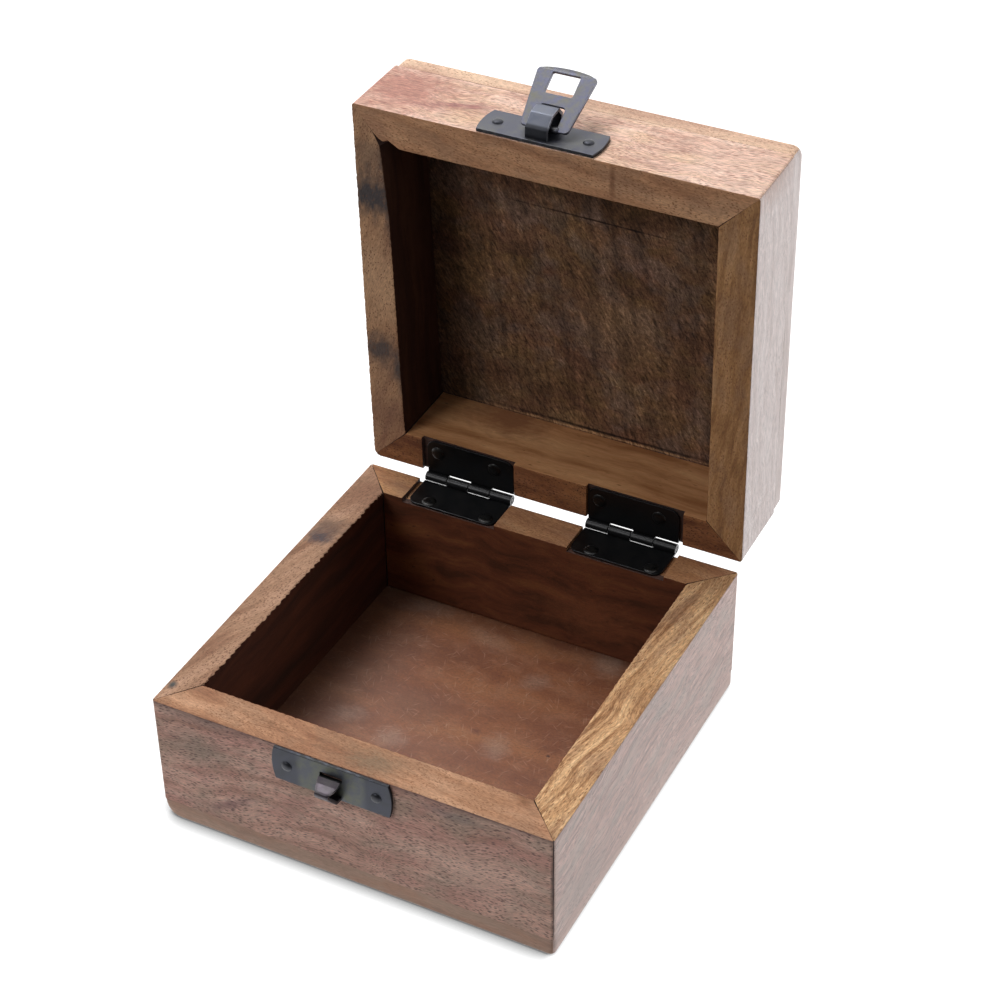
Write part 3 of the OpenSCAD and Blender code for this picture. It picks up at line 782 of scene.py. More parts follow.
def panel(name, thickness, seed, right, roughness=0.06, corner=CORNER_R, worn_corner=0):
    """Mesh of a panel whose outside is at Z 0 and whose face towards the cavity is at Z thickness.

    Its materials are for its edges, the cavity, the outside and the edge that is on the right of the
    box, which is towards X when right is 1 and away from X when it is -1.
    worn_corner is how much rounder its front left corner gets towards the outside.
    """
    half = np.array([BOX_W / 2, BOX_D / 2])
    xs = levels(BOX_W, PANEL_STEP, EDGE_LEVELS) - half[0]
    ys = levels(BOX_D, PANEL_STEP, EDGE_LEVELS) - half[1]
    eased = EASED_R * (1 - np.cos(np.linspace(0, math.pi / 2, 7)))
    zs = np.concatenate([eased, np.linspace(EASED_R, thickness - 0.2, 4)[1:], [thickness]])

    def shape(p):
        a, b = half[0] - np.abs(p[:, 0]), half[1] - np.abs(p[:, 1])
        at_worn = (p[:, 0] < 0) & (p[:, 1] < 0)
        lower = 1 - np.sqrt(1 - (1 - p[:, 2] / thickness) ** 2)
        a, b = rounded(a, b, corner + np.where(at_worn, worn_corner * lower, 0))
        inset = EASED_R - np.sqrt(EASED_R ** 2 - np.clip(EASED_R - p[:, 2], 0, EASED_R) ** 2)
        inset = inset + PANEL_INSET + 0.02 * field(p, (20, 20, 3), seed)
        x = np.sign(p[:, 0]) * (half[0] - a) * (1 - inset / half[0])
        y = np.sign(p[:, 1]) * (half[1] - b) * (1 - inset / half[1])
        uneven = roughness * (1 + field(p, (16, 7, 9), seed + 1))
        uneven = uneven + roughness / 3 * field(p, (3, 1.3, 3), seed + 2)
        z = p[:, 2] - np.where(p[:, 2] > thickness - 0.01, np.maximum(uneven, 0), 0)
        return np.column_stack([x, y, z])

    mesh = block(name, xs, ys, zs, shape)[0]
    for face in mesh.polygons:
        if face.normal.z < -0.9:
            face.material_index = INNER
        elif face.material_index == INNER or face.material_index == JOINT and face.normal.x * right < 0.5:
            face.material_index = OUTER
    return mesh


print("panels are eased by", EASED_R, "mm and set back by", PANEL_INSET, "mm")

# %% [markdown]
# ## Tones that the boards share
# The boards came from different planks, so they share a family of tones and differ a little. The
# outer faces were sanded, the rims show the sawn grain, and the insides were left planed and oiled
# dark. These three settings are the start for every board.

# %% Shared tones
FACE = dict(dark="#a07767", middle="#c89f8e", light="#dfbbaa", pore="#5c372f", lean=(0, 5, 0), wander=9,
            fibre=0.48, pore_mm=(1.6, 0.5), pore_share=1.15,
            patches=(("#958372", 14, 9, 0.55), ("#b0786e", 18, 7, 0.45)))
RIM_FACE = dict(dark="#92664a", middle="#b28461", light="#c69a75", pore="#80593f", lean=(0, 0, 6),
                pore_mm=(0.85, 0.42), pore_share=0.85, roughness=0.85, gloss=0.3, fibre=0.34,
                fibre_mm=(1.3, 0.34), patches=(("#92735c", 12, 6, 0.4),))
INSIDE = dict(dark="#432214", middle="#5a3220", light="#6e4229", pore="#2f1a11", pore_share=0.3, gloss=0.2,
              fibre=0.14)
EVEN_PATCHES = (("#a58b78", 20, 8, 0.35), ("#b0836f", 24, 6, 0.25))
print("family of tones:", FACE["middle"], RIM_FACE["middle"], INSIDE["middle"])

# %% [markdown]
# ## Tones of the base's boards
# Each board lists what differs on its outer face, its rim and its inner face. The front board is
# the darkest. A smoky spot crosses the left rim, and saw lines and a split show on the rims of the
# front and the right board. The right board's tones are greyer, which paints in part of the pale
# sheen that it catches at a grazing angle, and its gloss is raised as well.

# %% Base boards: outer face, rim, inner face
BOARD_TONES = {
    "base_front": (
        dict(pore_share=1.5, pore="#4a2c26", arris="#5e4540", stains_and_shades=(
            stain_or_shade((-38, 0, 20), (9, 9, 6), "#877a6c", 0.7),
            stain_or_shade((-31, 0, 6), (9, 9, 1.6), "#6a4448", 0.7, (0, -34, 0)),
            stain_or_shade((26, 0, 27), (9, 9, 2), "#6f6763", 0.6),
            stain_or_shade((33, 0, 12), (20, 9, 13), "#dcb9a8", 0.4),
            stain_or_shade((-36, 0, 28.5), (16, 9, 2.4), "#7d6056", 0.6),
            stain_or_shade((49.7, 0, 16), (0.7, 5, 17), "#2e1d19", 0.9),
            # Painted shade: a near black patch behind the catch plate, seen through the slot above the nose.
            stain_or_shade((-3.4, 0, 27.1), (5.5, 4, 2.4), "#0b0807", 1.0))),
        dict(dark="#8b6149", middle="#a97d5f", light="#bf9475", stains_and_shades=(
            stain_or_shade((4, 4.5, 30), (9, 4.5, 9), "#826c57", 0.8),
            stain_or_shade((30, 4.5, 30), (9, 5, 9), "#93694c", 0.5),
            stain_or_shade((38, 9.5, 30), (4, 2.5, 9), "#74482f", 0.6, (0, 0, -40)),
            stain_or_shade((-24, 3.6, 30), (7, 0.16, 9), "#7a5038", 0.8, (0, 0, 7)),
            stain_or_shade((-19, 4.8, 30), (6, 0.16, 9), "#7a5038", 0.8, (0, 0, 7)),
            stain_or_shade((-22, 5.6, 30), (5, 0.14, 9), "#7a5038", 0.8, (0, 0, 7)))),
        dict(),
    ),
    # The right board's greyer tones paint in part of the sheen of grazing light on it.
    "base_right": (
        dict(gloss=0.85, dark="#583b31", middle="#96746a", light="#b89a90", pore="#3b2620", pore_share=1.2,
             band_mm=(18, 1.2), pore_mm=(2.8, 0.45), fibre=0.45, lean=(0, 6, 0), roughness=0.55,
             patches=(("#84776e", 20, 5, 0.5),), stains_and_shades=(
                 stain_or_shade((-49, 0, 15), (1.3, 5, 22), "#86685a", 0.8),
                 stain_or_shade((-33, 0, 5), (15, 9, 9), "#6c544b", 0.6))),
        dict(dark="#8a603f", middle="#c3986e", light="#e0ba8e", pore="#7a5032", band_mm=(26, 1.3),
             pore_mm=(1.8, 0.36), fibre=0.5, stains_and_shades=(
                 stain_or_shade((10, 8, 30), (2.3, 0.13, 5), "#2b1710", 1.0, (0, 0, -39)),
                 stain_or_shade((44, 4, 30), (7, 9, 9), "#936a45", 0.4),
                 stain_or_shade((3, 4, 30), (12, 9, 9), "#a27850", 0.4))),
        dict(),
    ),
    "base_back": (
        dict(patches=EVEN_PATCHES),
        dict(dark="#875a42", middle="#a87955", light="#bd9066",
             stains_and_shades=(stain_or_shade((-38, 5, 30), (8, 9, 9), "#93653f", 0.5),)),
        dict(dark="#432415", middle="#5b311e", light="#6e4327", wander=14,
             stains_and_shades=(stain_or_shade((-15, 9.5, 11), (16, 4, 8), "#7a4a30", 0.5),)),
    ),
    "base_left": (
        dict(patches=EVEN_PATCHES),
        dict(dark="#84604b", middle="#a17d64", light="#b59077", pore="#664637", lean=(0, 0, 18),
             pore_mm=(0.8, 0.45), stains_and_shades=(
                 stain_or_shade((-18.5, 4.0, 30), (4.2, 4.4, 9), "#4a4245", 1.0),
                 stain_or_shade((-22.5, 4.5, 30), (5, 6, 9), "#6b5549", 0.8),
                 stain_or_shade((-38, 5, 30), (11, 9, 9), "#84604c", 0.75),
                 stain_or_shade((43.4, 1.4, 30), (1.6, 1.3, 9), "#4b4a48", 1.0))),
        # Painted shade: this inner face is darker than the other insides, because it faces away from the
        # lamps.
        dict(dark="#23110b", middle="#341a11", light="#452417", gloss=0.1),
    ),
}
print("boards of the base:", ", ".join(BOARD_TONES))

# %% [markdown]
# ## Tones of the lid's boards
# The lid's front board faces the lamp above and is the palest plank, with a redder end. The left
# rim carries the same smoke as the base's does. The right board is grey again.

# %% Lid boards: outer face, rim, inner face
SMOKE = "#423c3c"

BOARD_TONES.update({
    "lid_front": (
        dict(dark="#b18a79", middle="#d2ae9b", light="#e4c6b4", pore="#8f5f50", pore_mm=(2.6, 0.4),
             pore_share=0.95, fibre=0.6, patches=(("#bd8f7b", 16, 6, 0.4), ("#cfae8c", 20, 5, 0.5)), stains_and_shades=(
                 stain_or_shade((43, 0, 9), (20, 9, 14), "#a27062", 0.95),
                 stain_or_shade((27, 0, 11), (12, 9, 1.6), "#8b5853", 0.85, (0, -20, 0)),
                 stain_or_shade((-42, 0, 11), (14, 9, 16), "#e6c9b8", 0.35))),
        dict(stains_and_shades=(stain_or_shade((-15.4, 4.5, 20), (0.9, 6, 9), "#6c4630", 0.7),
                     stain_or_shade((44, 5, 20), (6, 5, 9), "#8a6350", 0.5))),
        dict(),
    ),
    # Its greyer tones paint in part of the pale sheen of grazing light, as on the base's right board.
    "lid_right": (
        dict(gloss=1.0, dark="#98847e", middle="#b2a19d", light="#c3b5b1", pore="#85736d", pore_share=0.6,
             band_mm=(30, 1.4), pore_mm=(2.8, 0.45), roughness=0.5, patches=(),
             stains_and_shades=(stain_or_shade((50, 0, 11), (7, 9, 15), "#876455", 0.9),)),
        dict(dark="#86603f", middle="#a47950", light="#b68c62", band_mm=(30, 1.6)),
        dict(),
    ),
    "lid_back": (
        dict(patches=EVEN_PATCHES),
        dict(dark="#5d351e", middle="#7d4f31", light="#966545", pore="#3a1f12",
             patches=(("#90603a", 16, 8, 0.7),)),
        dict(dark="#96643e", middle="#b9855a", light="#cb9b6e", pore="#6c4727", gloss=0.3,
             # Painted shade: a darker patch where this face meets the ceiling, on its left side.
             stains_and_shades=(stain_or_shade((-20, 9.5, 3), (14, 3, 9), "#84573a", 0.9),)),
    ),
    "lid_left": (
        dict(patches=EVEN_PATCHES),
        dict(dark="#85604a", middle="#a47d5e", light="#b8906d", pore="#634333", lean=(0, 0, 18),
             pore_mm=(0.8, 0.45), stains_and_shades=(
                 stain_or_shade((-27, 3.5, 20), (8, 9, 9), SMOKE, 1.0),
                 stain_or_shade((-27, 8.8, 20), (14, 2.8, 9), SMOKE, 0.9),
                 stain_or_shade((16.5, 3.5, 20), (6, 5.5, 9), SMOKE, 0.9),
                 stain_or_shade((21, 8.6, 20), (8, 2.4, 9), SMOKE, 0.9),
                 stain_or_shade((-37, 5, 20), (6, 9, 9), SMOKE, 0.5),
                 stain_or_shade((-3, 5, 20), (13, 9, 9), "#c39c79", 0.7),
                 stain_or_shade((36, 5, 20), (7, 9, 9), "#7f5a46", 0.6))),
        # Painted shade: this inner face is darker than the other insides, because it faces away from the
        # lamps.
        dict(dark="#26140e", middle="#372017", light="#472d20", gloss=0.1),
    ),
})
print("boards with tones of their own:", len(BOARD_TONES))

# %% [markdown]
# ## The boards at their places
# Edges differ as well: the left boards are torn most and planed thinner at one end, so the boards
# that they meet are cut to suit. Every board gets one material for each kind of face: outside, rim,
# inside, and the dark sawn faces of its mitres and hinge seats.

# %% Edges that differ
BOARD_EDGES = {
    "base_back": dict(meets=(0, 0.9), outer_rag=0),
    "base_left": dict(inner_rag=0.38, thin=(0.9, 1.8)),
    "base_front": dict(inner_rag=0.12, meets=(1.8, 0)),
    "lid_front": dict(chips=((41, 3, 1.6),), meets=(0, 1.6), open_mitre=0.015),
    "lid_right": dict(open_mitre=0.015),
    "lid_back": dict(ends=(2.5, CORNER_R), dark_seats=True, open_mitre=0.03),
    "lid_left": dict(inner_rag=0.15, outer_rag=0.3, ends=(CORNER_R, 2.5), thin=(1.6, 0),
                     chips=((-41, 20, 1.2),), open_mitre=0.03),
}
print("boards with edges of their own:", len(BOARD_EDGES))

# %% [markdown]
# ## Eight boards from one recipe
# A loop goes through the tones, finds each board's side and length, and makes its woods and its
# mesh. The back boards get the hinge seats, mirrored for the base because its board faces away.

# %% Dress the boards
KINDS = (("sanded", FACE), ("sawn", RIM_FACE), ("planed", INSIDE))

for index, (name, faces) in enumerate(BOARD_TONES.items()):
    body, where = name.split("_")
    side = ("front", "right", "back", "left").index(where)
    length, height = (BOX_W, BOX_D)[side % 2], (BASE_H if body == "base" else LID_H)
    seats = ()
    if where == "back":
        seats = SEATS if body == "lid" else [(-high, -low) for low, high in SEATS]
    woods = [bare_wood(f"{kind}_hardwood_{name}", 3 * index + k, **{**shared, **own})
             for k, ((kind, shared), own) in enumerate(zip(KINDS, faces))]
    mesh = board(f"{name}_board_wood", length, height, 10 * side + (body == "lid"), seats,
                 **BOARD_EDGES.get(name, {}))
    pose = base_place(side) if body == "base" else lid_place(side)
    dress(mesh, f"{name}_board_wood", body, f"{name}_board", [*woods, sawn_joint], pose)
print("board materials:", len([m for m in bpy.data.materials if "hardwood" in m.name]))

# %% [markdown]
# ## The rubbed floor
# The floor of the box was rubbed smooth with sandpaper in all directions, which left short light
# scratches and dusty smudges. A real scratch is finer than a pixel here, so each is drawn half a
# millimetre wide and faint. The floor is also painted darker towards the left and the back board,
# as painted shade where those boards and the lid keep light off.

# %% Floor of the box
SCRATCH_MM = (5.2, 0.55)
SCRATCH_TURNS = ((20, 3), (50, 11), (78, 8), (112, 14), (145, 5), (170, 19))
SCRATCH_TONE = "#b38d74"
SCRATCH_CORE = (0.05, 0.3)
SCRATCH_STRENGTH = 0.42
SCRATCH_RARE = 0.76
# Painted shade: the floor is drawn darker towards the left board and the back board.
PAINTED_SHADE_LEFT = (-41, -20, 0.4)
PAINTED_SHADE_BACK = (41, 31, 0.55)


def rubbed_floor(tree, here, colour, height):
    """Short light scratches in all directions, and painted shade along the left and the back board."""
    for turn, seed in SCRATCH_TURNS:
        along = add(tree, "ShaderNodeMapping", {"Vector": here, "Location": (seed * 9, seed * 5, 0),
                                                "Rotation": (0, 0, math.radians(turn)),
                                                "Scale": (*SCRATCH_MM, 1)}, vector_type="TEXTURE")
        cells = add(tree, "ShaderNodeTexVoronoi", {"Vector": along.outputs[0], "Scale": 1.0})
        core = add(tree, "ShaderNodeMapRange", {"Value": cells.outputs["Distance"],
                                                "From Min": SCRATCH_CORE[0], "From Max": SCRATCH_CORE[1],
                                                "To Min": SCRATCH_STRENGTH, "To Max": 0.0})
        rare = add(tree, "ShaderNodeMath", {0: cells.outputs["Color"], 1: SCRATCH_RARE},
                   operation="GREATER_THAN")
        amount = add(tree, "ShaderNodeMath", {0: core.outputs[0], 1: rare.outputs[0]}, operation="MULTIPLY")
        colour = tinted(tree, colour, SCRATCH_TONE, amount.outputs[0])
    spot = add(tree, "ShaderNodeSeparateXYZ", {0: here})
    colour = shaded(tree, colour, spot.outputs["X"], *PAINTED_SHADE_LEFT)
    return shaded(tree, colour, spot.outputs["Y"], *PAINTED_SHADE_BACK), height


wood_floor = bare_wood(
    "rubbed_hardwood_floor", 31, "#6f3f25", "#7e4b2d", "#8d5937", "#4f2818", pore_share=0.35,
    pore_mm=(0.7, 0.4), fibre=0.3, fibre_mm=(0.7, 0.4), roughness=0.55, relief=0.03, finish=rubbed_floor,
    band_mm=(30, 8), patches=(("#93664b", 6, 5, 0.35), ("#6b3922", 12, 8, 0.45)), stains_and_shades=(
        stain_or_shade((-28, 38, 5), (9, 4, 9), "#a98c7a", 0.35, (0, 0, 15)),
        stain_or_shade((-8, 33, 5), (9, 4, 9), "#a5846f", 0.3, (0, 0, -20)),
        stain_or_shade((22, 38, 5), (5, 6, 9), "#ad9483", 0.35, (0, 0, 30)),
        stain_or_shade((-26, -6, 5), (6, 4, 9), "#9d8070", 0.35, (0, 0, 30)),
        stain_or_shade((-13, -9, 5), (5, 5, 9), "#9d8070", 0.4, (0, 0, -30)),
        stain_or_shade((11, -1, 5), (4, 6, 9), "#9d8070", 0.4, (0, 0, 20)),
        stain_or_shade((9, 24, 5), (5, 3.5, 9), "#a28775", 0.3, (0, 0, 40)),
        stain_or_shade((-13, 3, 5), (11, 7, 9), "#693f28", 0.6),
        stain_or_shade((4, 2, 5), (1.6, 1.1, 9), "#5a2a1c", 0.7),
        stain_or_shade((23.2, 1.8, 5), (0.6, 0.5, 9), "#3a1712", 1)),
)
print("scratches in", len(SCRATCH_TURNS), "directions")

# %% [markdown]
# ## The rough-sawn ceiling
# Inside the lid, the panel was left rough from the saw: torn fibres that catch the light on their
# crests, smears of the blade across them, and grit between. Each is a cloud, turned and drawn out
# to its own size. It gets darker towards the left board, where little light comes.

# %% Ceiling of the lid
SAW_MARKS = (122, 2.6, 0.75, 5.0, 0.8, 0.9)
SAW_SMEARS = (96, 26, 3.2, 3.0, 0.6, 0.4)
SAW_GRIT = (110, 0.9, 0.5, 2.0, 0.7, 0)
MARKS_SHADE = (0.36, 0.64, 0.35, 1.65)
SMEARS_SHADE = (0.3, 0.7, 0.6, 1.4)
GRIT_SHADE = (0.3, 0.7, 0.65, 1.35)
CEILING_SHADE = (41, 27, 0.5)


def saw_cloud(tree, here, turn, along, across, detail, rough, bent):
    """Cloud that is turned by degrees and drawn out to these lengths in millimetres."""
    space = add(tree, "ShaderNodeMapping", {"Vector": here, "Rotation": (0, 0, math.radians(turn)),
                                            "Scale": (along, across, 1)}, vector_type="TEXTURE")
    return add(tree, "ShaderNodeTexNoise", {"Vector": space.outputs[0], "Scale": 1.0, "Detail": detail,
                                            "Roughness": rough, "Distortion": bent}).outputs[0]


def rough_sawn(tree, here, colour, height):
    """Torn fibres of a coarse saw, light on their crests and dark between, and smears across them."""
    marks, smears, grit = (saw_cloud(tree, here, *cloud) for cloud in (SAW_MARKS, SAW_SMEARS, SAW_GRIT))
    height = add(tree, "ShaderNodeMath", {0: marks, 1: 0.6, 2: grit}, operation="MULTIPLY_ADD").outputs[0]
    colour = shaded(tree, colour, marks, *MARKS_SHADE)
    colour = shaded(tree, colour, smears, *SMEARS_SHADE)
    colour = shaded(tree, colour, grit, *GRIT_SHADE)
    spot = add(tree, "ShaderNodeSeparateXYZ", {0: here})
    return shaded(tree, colour, spot.outputs["X"], *CEILING_SHADE), height


wood_ceiling = bare_wood(
    "rough_sawn_hardwood_ceiling", 32, "#553c2b", "#6c4e39", "#7d6147", "#38281d", pore_share=0.3,
    roughness=0.9, gloss=0.2, relief=0.22, finish=rough_sawn, band_mm=(16, 9),
    patches=(("#7a5f38", 13, 9, 0.3), ("#6d4a3c", 15, 11, 0.35), ("#6e625c", 9, 9, 0.3)), stains_and_shades=(
        stain_or_shade((-3, -21, 5), (27, 0.35, 9), "#21150e", 1.0, (0, 0, -0.7)),
        # Painted shade under the lid's front board, which keeps light off this end of the ceiling.
        stain_or_shade((0, -31, 5), (45, 9, 9), "#49321f", 0.5),
        stain_or_shade((-9, 8, 5), (14, 12, 9), "#886a50", 0.6),
        stain_or_shade((20, 29, 5), (15, 10, 9), "#4d3523", 0.6),
        stain_or_shade((-5, 40.2, 5), (37, 0.45, 9), "#b08660", 0.9),
        stain_or_shade((-5, 39.3, 5), (40, 0.5, 9), "#1d120c", 0.9)),
)
print("saw marks", SAW_MARKS[1], "mm long, at", SAW_MARKS[0], "degrees")

# %% [markdown]
# ## The panels at their places
# The panels' edges and outsides are sanded wood again. Their tones match the boards beside them, so
# the edge on the right is as grey as the right boards.

# %% Dress the panels
BASE_CORNER_WORN = 5
LID_PANEL_CORNER_R = 2.2

base_edge = bare_wood("sanded_hardwood_base_edge", 33, "#967869", "#ab8d7b", "#b99b88", "#765a4c",
                      pore_share=0.3, pore_mm=(1.4, 0.4), patches=(("#b0856f", 18, 8, 0.6),))
# The right edges are as grey as the right boards, which paints in part of their sheen of grazing light.
base_side = bare_wood("sanded_hardwood_base_side", 35, "#62493f", "#917166", "#ab8e84", "#4a332b",
                      pore_share=0.7, gloss=0.85, roughness=0.55, lean=(0, 0, 90))
lid_edge = bare_wood("sanded_hardwood_lid_edge", 34, "#b08a74", "#c9a58c", "#dcbc9f", "#93684f",
                     pore_share=0.9, pore_mm=(0.8, 0.4), fibre=0.35, fibre_mm=(1.2, 0.4))
lid_side = bare_wood("sanded_hardwood_lid_side", 36, "#98847e", "#b2a19d", "#c3b5b1", "#85736d",
                     pore_share=0.4, gloss=1.0, roughness=0.5, lean=(0, 0, 90))
outside = bare_wood("sanded_hardwood_panel", 37, **{**FACE, "lean": (0, 0, 4), "patches": EVEN_PATCHES})

mesh = panel("base_panel_wood", PANEL_T, 41, 1, worn_corner=BASE_CORNER_WORN)
dress(mesh, "base_panel_wood", "base", "base_panel",
      [base_edge, wood_floor, outside, base_side])
mesh = panel("lid_panel_wood", LID_PANEL_T, 42, -1, roughness=0.09, corner=LID_PANEL_CORNER_R)
dress(mesh, "lid_panel_wood", "lid", "lid_panel", [lid_edge, wood_ceiling, outside, lid_side],
      LID_POSE @ Matrix.Translation((0, 0, lid_panel_high.z)) @ Matrix.Rotation(math.pi, 4, "Y"))
print("panels:", PANEL_T, "and", round(LID_PANEL_T, 2), "mm thick")

# %% [markdown]
# ## Sheet metal, drawn flat
# Hinges and clasp were stamped from thin steel sheet and then folded or rolled, so they are made
# here in the same order. An outline is a list of corners, each with its own radius, because a punch
# leaves no corner sharp.

# %% Outlines
CORNER_STEPS = 6


def arc(centre, radius, start, stop, steps=6):
    """Points on an arc, from one angle in degrees to another."""
    angles = np.radians(np.linspace(start, stop, steps + 1))
    return [(centre[0] + radius * math.cos(a), centre[1] + radius * math.sin(a)) for a in angles]


def circle(x, y, radius, steps=20):
    """Points of a round hole."""
    return arc((x, y), radius, 0, 360 * (1 - 1 / steps), steps - 1)


def rounded_outline(corners_and_radii):
    """Closed outline, counter-clockwise, with each corner rounded by its own radius."""
    points = []
    count = len(corners_and_radii)
    for i, (x, y, radius) in enumerate(corners_and_radii):
        if radius == 0:
            points.append((x, y))
            continue
        here = Vector((x, y))
        back = (Vector(corners_and_radii[i - 1][:2]) - here).normalized()
        ahead = (Vector(corners_and_radii[(i + 1) % count][:2]) - here).normalized()
        half_angle = back.angle(ahead) / 2
        centre = here + (back + ahead).normalized() * radius / math.sin(half_angle)
        first = here + back * radius / math.tan(half_angle) - centre
        last = here + ahead * radius / math.tan(half_angle) - centre
        turn = first.angle_signed(last)
        for k in range(CORNER_STEPS + 1):
            c, s = math.cos(-turn * k / CORNER_STEPS), math.sin(-turn * k / CORNER_STEPS)
            points.append((centre.x + c * first.x - s * first.y, centre.y + s * first.x + c * first.y))
    return points


print("a nail hole has", len(circle(0, 0, 0.8)), "points")

# %% [markdown]
# ## Cutting the sheet
# A curve with holes fills itself, and its bevel gives the edges that the press rounded a little.
# The mesh that comes of it is then divided by straight cuts where the sheet has to bend, because a
# face can't bend in its middle.

# %% Stamp and divide a sheet
def stamped(name, outline, holes, thickness, edge):
    """Flat sheet in the XY plane, in millimetres, with its outline and its holes bevelled by edge."""
    curve = bpy.data.curves.new(name, "CURVE")
    curve.dimensions = "2D"
    curve.fill_mode = "BOTH"
    curve.extrude = thickness / 2 - edge
    curve.bevel_depth = edge
    curve.bevel_resolution = 1
    curve.offset = -edge
    for ring in (outline, *holes):
        spline = curve.splines.new("POLY")
        spline.points.add(len(ring) - 1)
        spline.points.foreach_set("co", np.array([(x, y, 0, 1) for x, y in ring]).ravel())
        spline.use_cyclic_u = True
    holder = bpy.data.objects.new(name, curve)
    bpy.context.scene.collection.objects.link(holder)
    mesh = bpy.data.meshes.new_from_object(holder.evaluated_get(bpy.context.evaluated_depsgraph_get()))
    bpy.data.objects.remove(holder)
    return mesh


def cut_sheet(name, outline, holes, thickness, edge=0.09, cuts_x=(), cuts_y=()):
    """Stamped sheet, divided by lines at cuts_x and cuts_y, with its edges marked as worn."""
    mesh = stamped(name, outline, holes, thickness, edge)
    bm = bmesh.new()
    bm.from_mesh(mesh)
    bmesh.ops.remove_doubles(bm, verts=bm.verts, dist=1e-4)
    for axis, cuts in ((Vector((1, 0, 0)), cuts_x), (Vector((0, 1, 0)), cuts_y)):
        for cut in cuts:
            geometry = [*bm.verts, *bm.edges, *bm.faces]
            bmesh.ops.bisect_plane(bm, geom=geometry, plane_co=axis * float(cut), plane_no=axis, dist=1e-5)
    bm.to_mesh(mesh)
    bm.free()
    mesh.name = name
    worn = [float(abs(v.co.z) < thickness / 2 - edge / 10) for v in mesh.vertices]
    mesh.attributes.new("arris", "FLOAT", "POINT").data.foreach_set("value", worn)
    return mesh


def move_points(mesh, shape):
    """Moves a mesh's points, given in millimetres, by shape, and turns the mesh to metres."""
    points = np.zeros(len(mesh.vertices) * 3)
    mesh.vertices.foreach_get("co", points)
    mesh.vertices.foreach_set("co", (shape(points.reshape(-1, 3)) * MM).ravel())
    mesh.update()
    return mesh


print("sheet helpers ready")

# %% [markdown]
# ## Folding a strip
# Tongue and nose are narrow strips with several tight bends. A block that is long in Z is laid
# along a path with rounded bends, so the sheet keeps its thickness round each of them.

# %% Fold a strip
def rounded_path(path, bend_r):
    """Points along a path of (out, up) corners, with a short curve in place of each corner."""
    spots = [Vector(path[0])]
    for before, here, after in zip(path, path[1:], path[2:]):
        here, a, b = Vector(here), Vector(before) - Vector(here), Vector(after) - Vector(here)
        reach = min(bend_r / math.tan(a.angle(b) / 2), 0.45 * a.length, 0.45 * b.length)
        start, stop = here + a.normalized() * reach, here + b.normalized() * reach
        for k in np.linspace(0, 1, 6):
            spots.append(start.lerp(here, k).lerp(here.lerp(stop, k), k))
    return np.array([*spots, Vector(path[-1])])


def folded(name, path, width_at, thickness, bend_r, edge=0.1):
    """Strip of sheet along a path of (out, up) points; width_at gives its width at a share of its length."""
    spots = rounded_path(path, bend_r)
    lengths = np.concatenate([[0], np.cumsum(np.hypot(*np.diff(spots, axis=0).T))])
    even = np.linspace(edge, lengths[-1] - edge, 25)
    steps = np.concatenate([[0], lengths[1:-1], even, [lengths[-1]]])
    across = np.array([-1, -0.94, -0.5, 0, 0.5, 0.94, 1])
    through = np.array([-0.5, -0.5 + edge / thickness, 0.5 - edge / thickness, 0.5]) * thickness

    def shape(p):
        along = p[:, 2]
        a, b = thickness / 2 - np.abs(p[:, 1]), (1 - np.abs(p[:, 0])) * width_at(0) / 2
        a, b = rounded(a, b, edge)
        layer, wide = np.sign(p[:, 1]) * (thickness / 2 - a), np.sign(p[:, 0]) * (width_at(0) / 2 - b)
        centre = np.column_stack([np.interp(along, lengths, spots[:, i]) for i in (0, 1)])
        tangent = np.gradient(spots, lengths, axis=0)
        tangent = np.column_stack([np.interp(along, lengths, tangent[:, i]) for i in (0, 1)])
        tangent /= np.linalg.norm(tangent, axis=1)[:, None]
        normal = np.column_stack([-tangent[:, 1], tangent[:, 0]])
        spot = centre + normal * layer[:, None]
        shares = np.array([width_at(share) for share in along / lengths[-1]]) / width_at(0)
        return np.column_stack([wide * shares, -spot[:, 0], spot[:, 1]])

    mesh, points = block(name, across, through, np.unique(steps), shape)
    worn = (np.abs(points[:, 0]) > 0.97).astype(float)
    mesh.attributes.new("arris", "FLOAT", "POINT").data.foreach_set("value", worn)
    return mesh


print("folding ready")

# %% [markdown]
# ## Turned pieces
# Nail heads, pins and the hasp's bar are round about an axis, so a profile is turned about Z.

# %% Turn a profile
def turned(name, profile, steps=28):
    """Solid turned about Z. profile gives (radius, height) from top to foot, and ends on the axis."""
    middle = profile[1:-1]
    turns = [2 * math.pi * k / steps for k in range(steps)]
    points = [(0, 0, profile[0][1])] + [
        (r * math.cos(a), r * math.sin(a), z) for r, z in middle for a in turns
    ] + [(0, 0, profile[-1][1])]
    last = len(points) - 1
    faces = []
    for k in range(steps):
        n = (k + 1) % steps
        faces.append((0, 1 + k, 1 + n))
        for ring in range(len(middle) - 1):
            low = 1 + ring * steps
            faces.append((low + k, low + steps + k, low + steps + n, low + n))
        foot = 1 + (len(middle) - 1) * steps
        faces.append((foot + k, last, foot + n))
    mesh = bpy.data.meshes.new(name)
    mesh.from_pydata(points, [], faces)
    return mesh


def rod(name, half, r, end_share, chamfer, steps):
    """Round rod about Z with chamfered ends, whose flat parts reach end_share of its radius r."""
    return turned(name, [(0, half), (end_share * r, half), (r, half - chamfer),
                         (r, chamfer - half), (end_share * r, -half), (0, -half)], steps)


def joined(name, meshes_and_places):
    """One mesh, in metres, of several in millimetres, each moved by its matrix."""
    bm = bmesh.new()
    for mesh, place in meshes_and_places:
        part = mesh.copy()
        part.transform(Matrix.Scale(MM, 4) @ place)
        bm.from_mesh(part)
        bpy.data.meshes.remove(part)
    mesh = bpy.data.meshes.new(name)
    bm.to_mesh(mesh)
    bm.free()
    return mesh


print("turning ready")

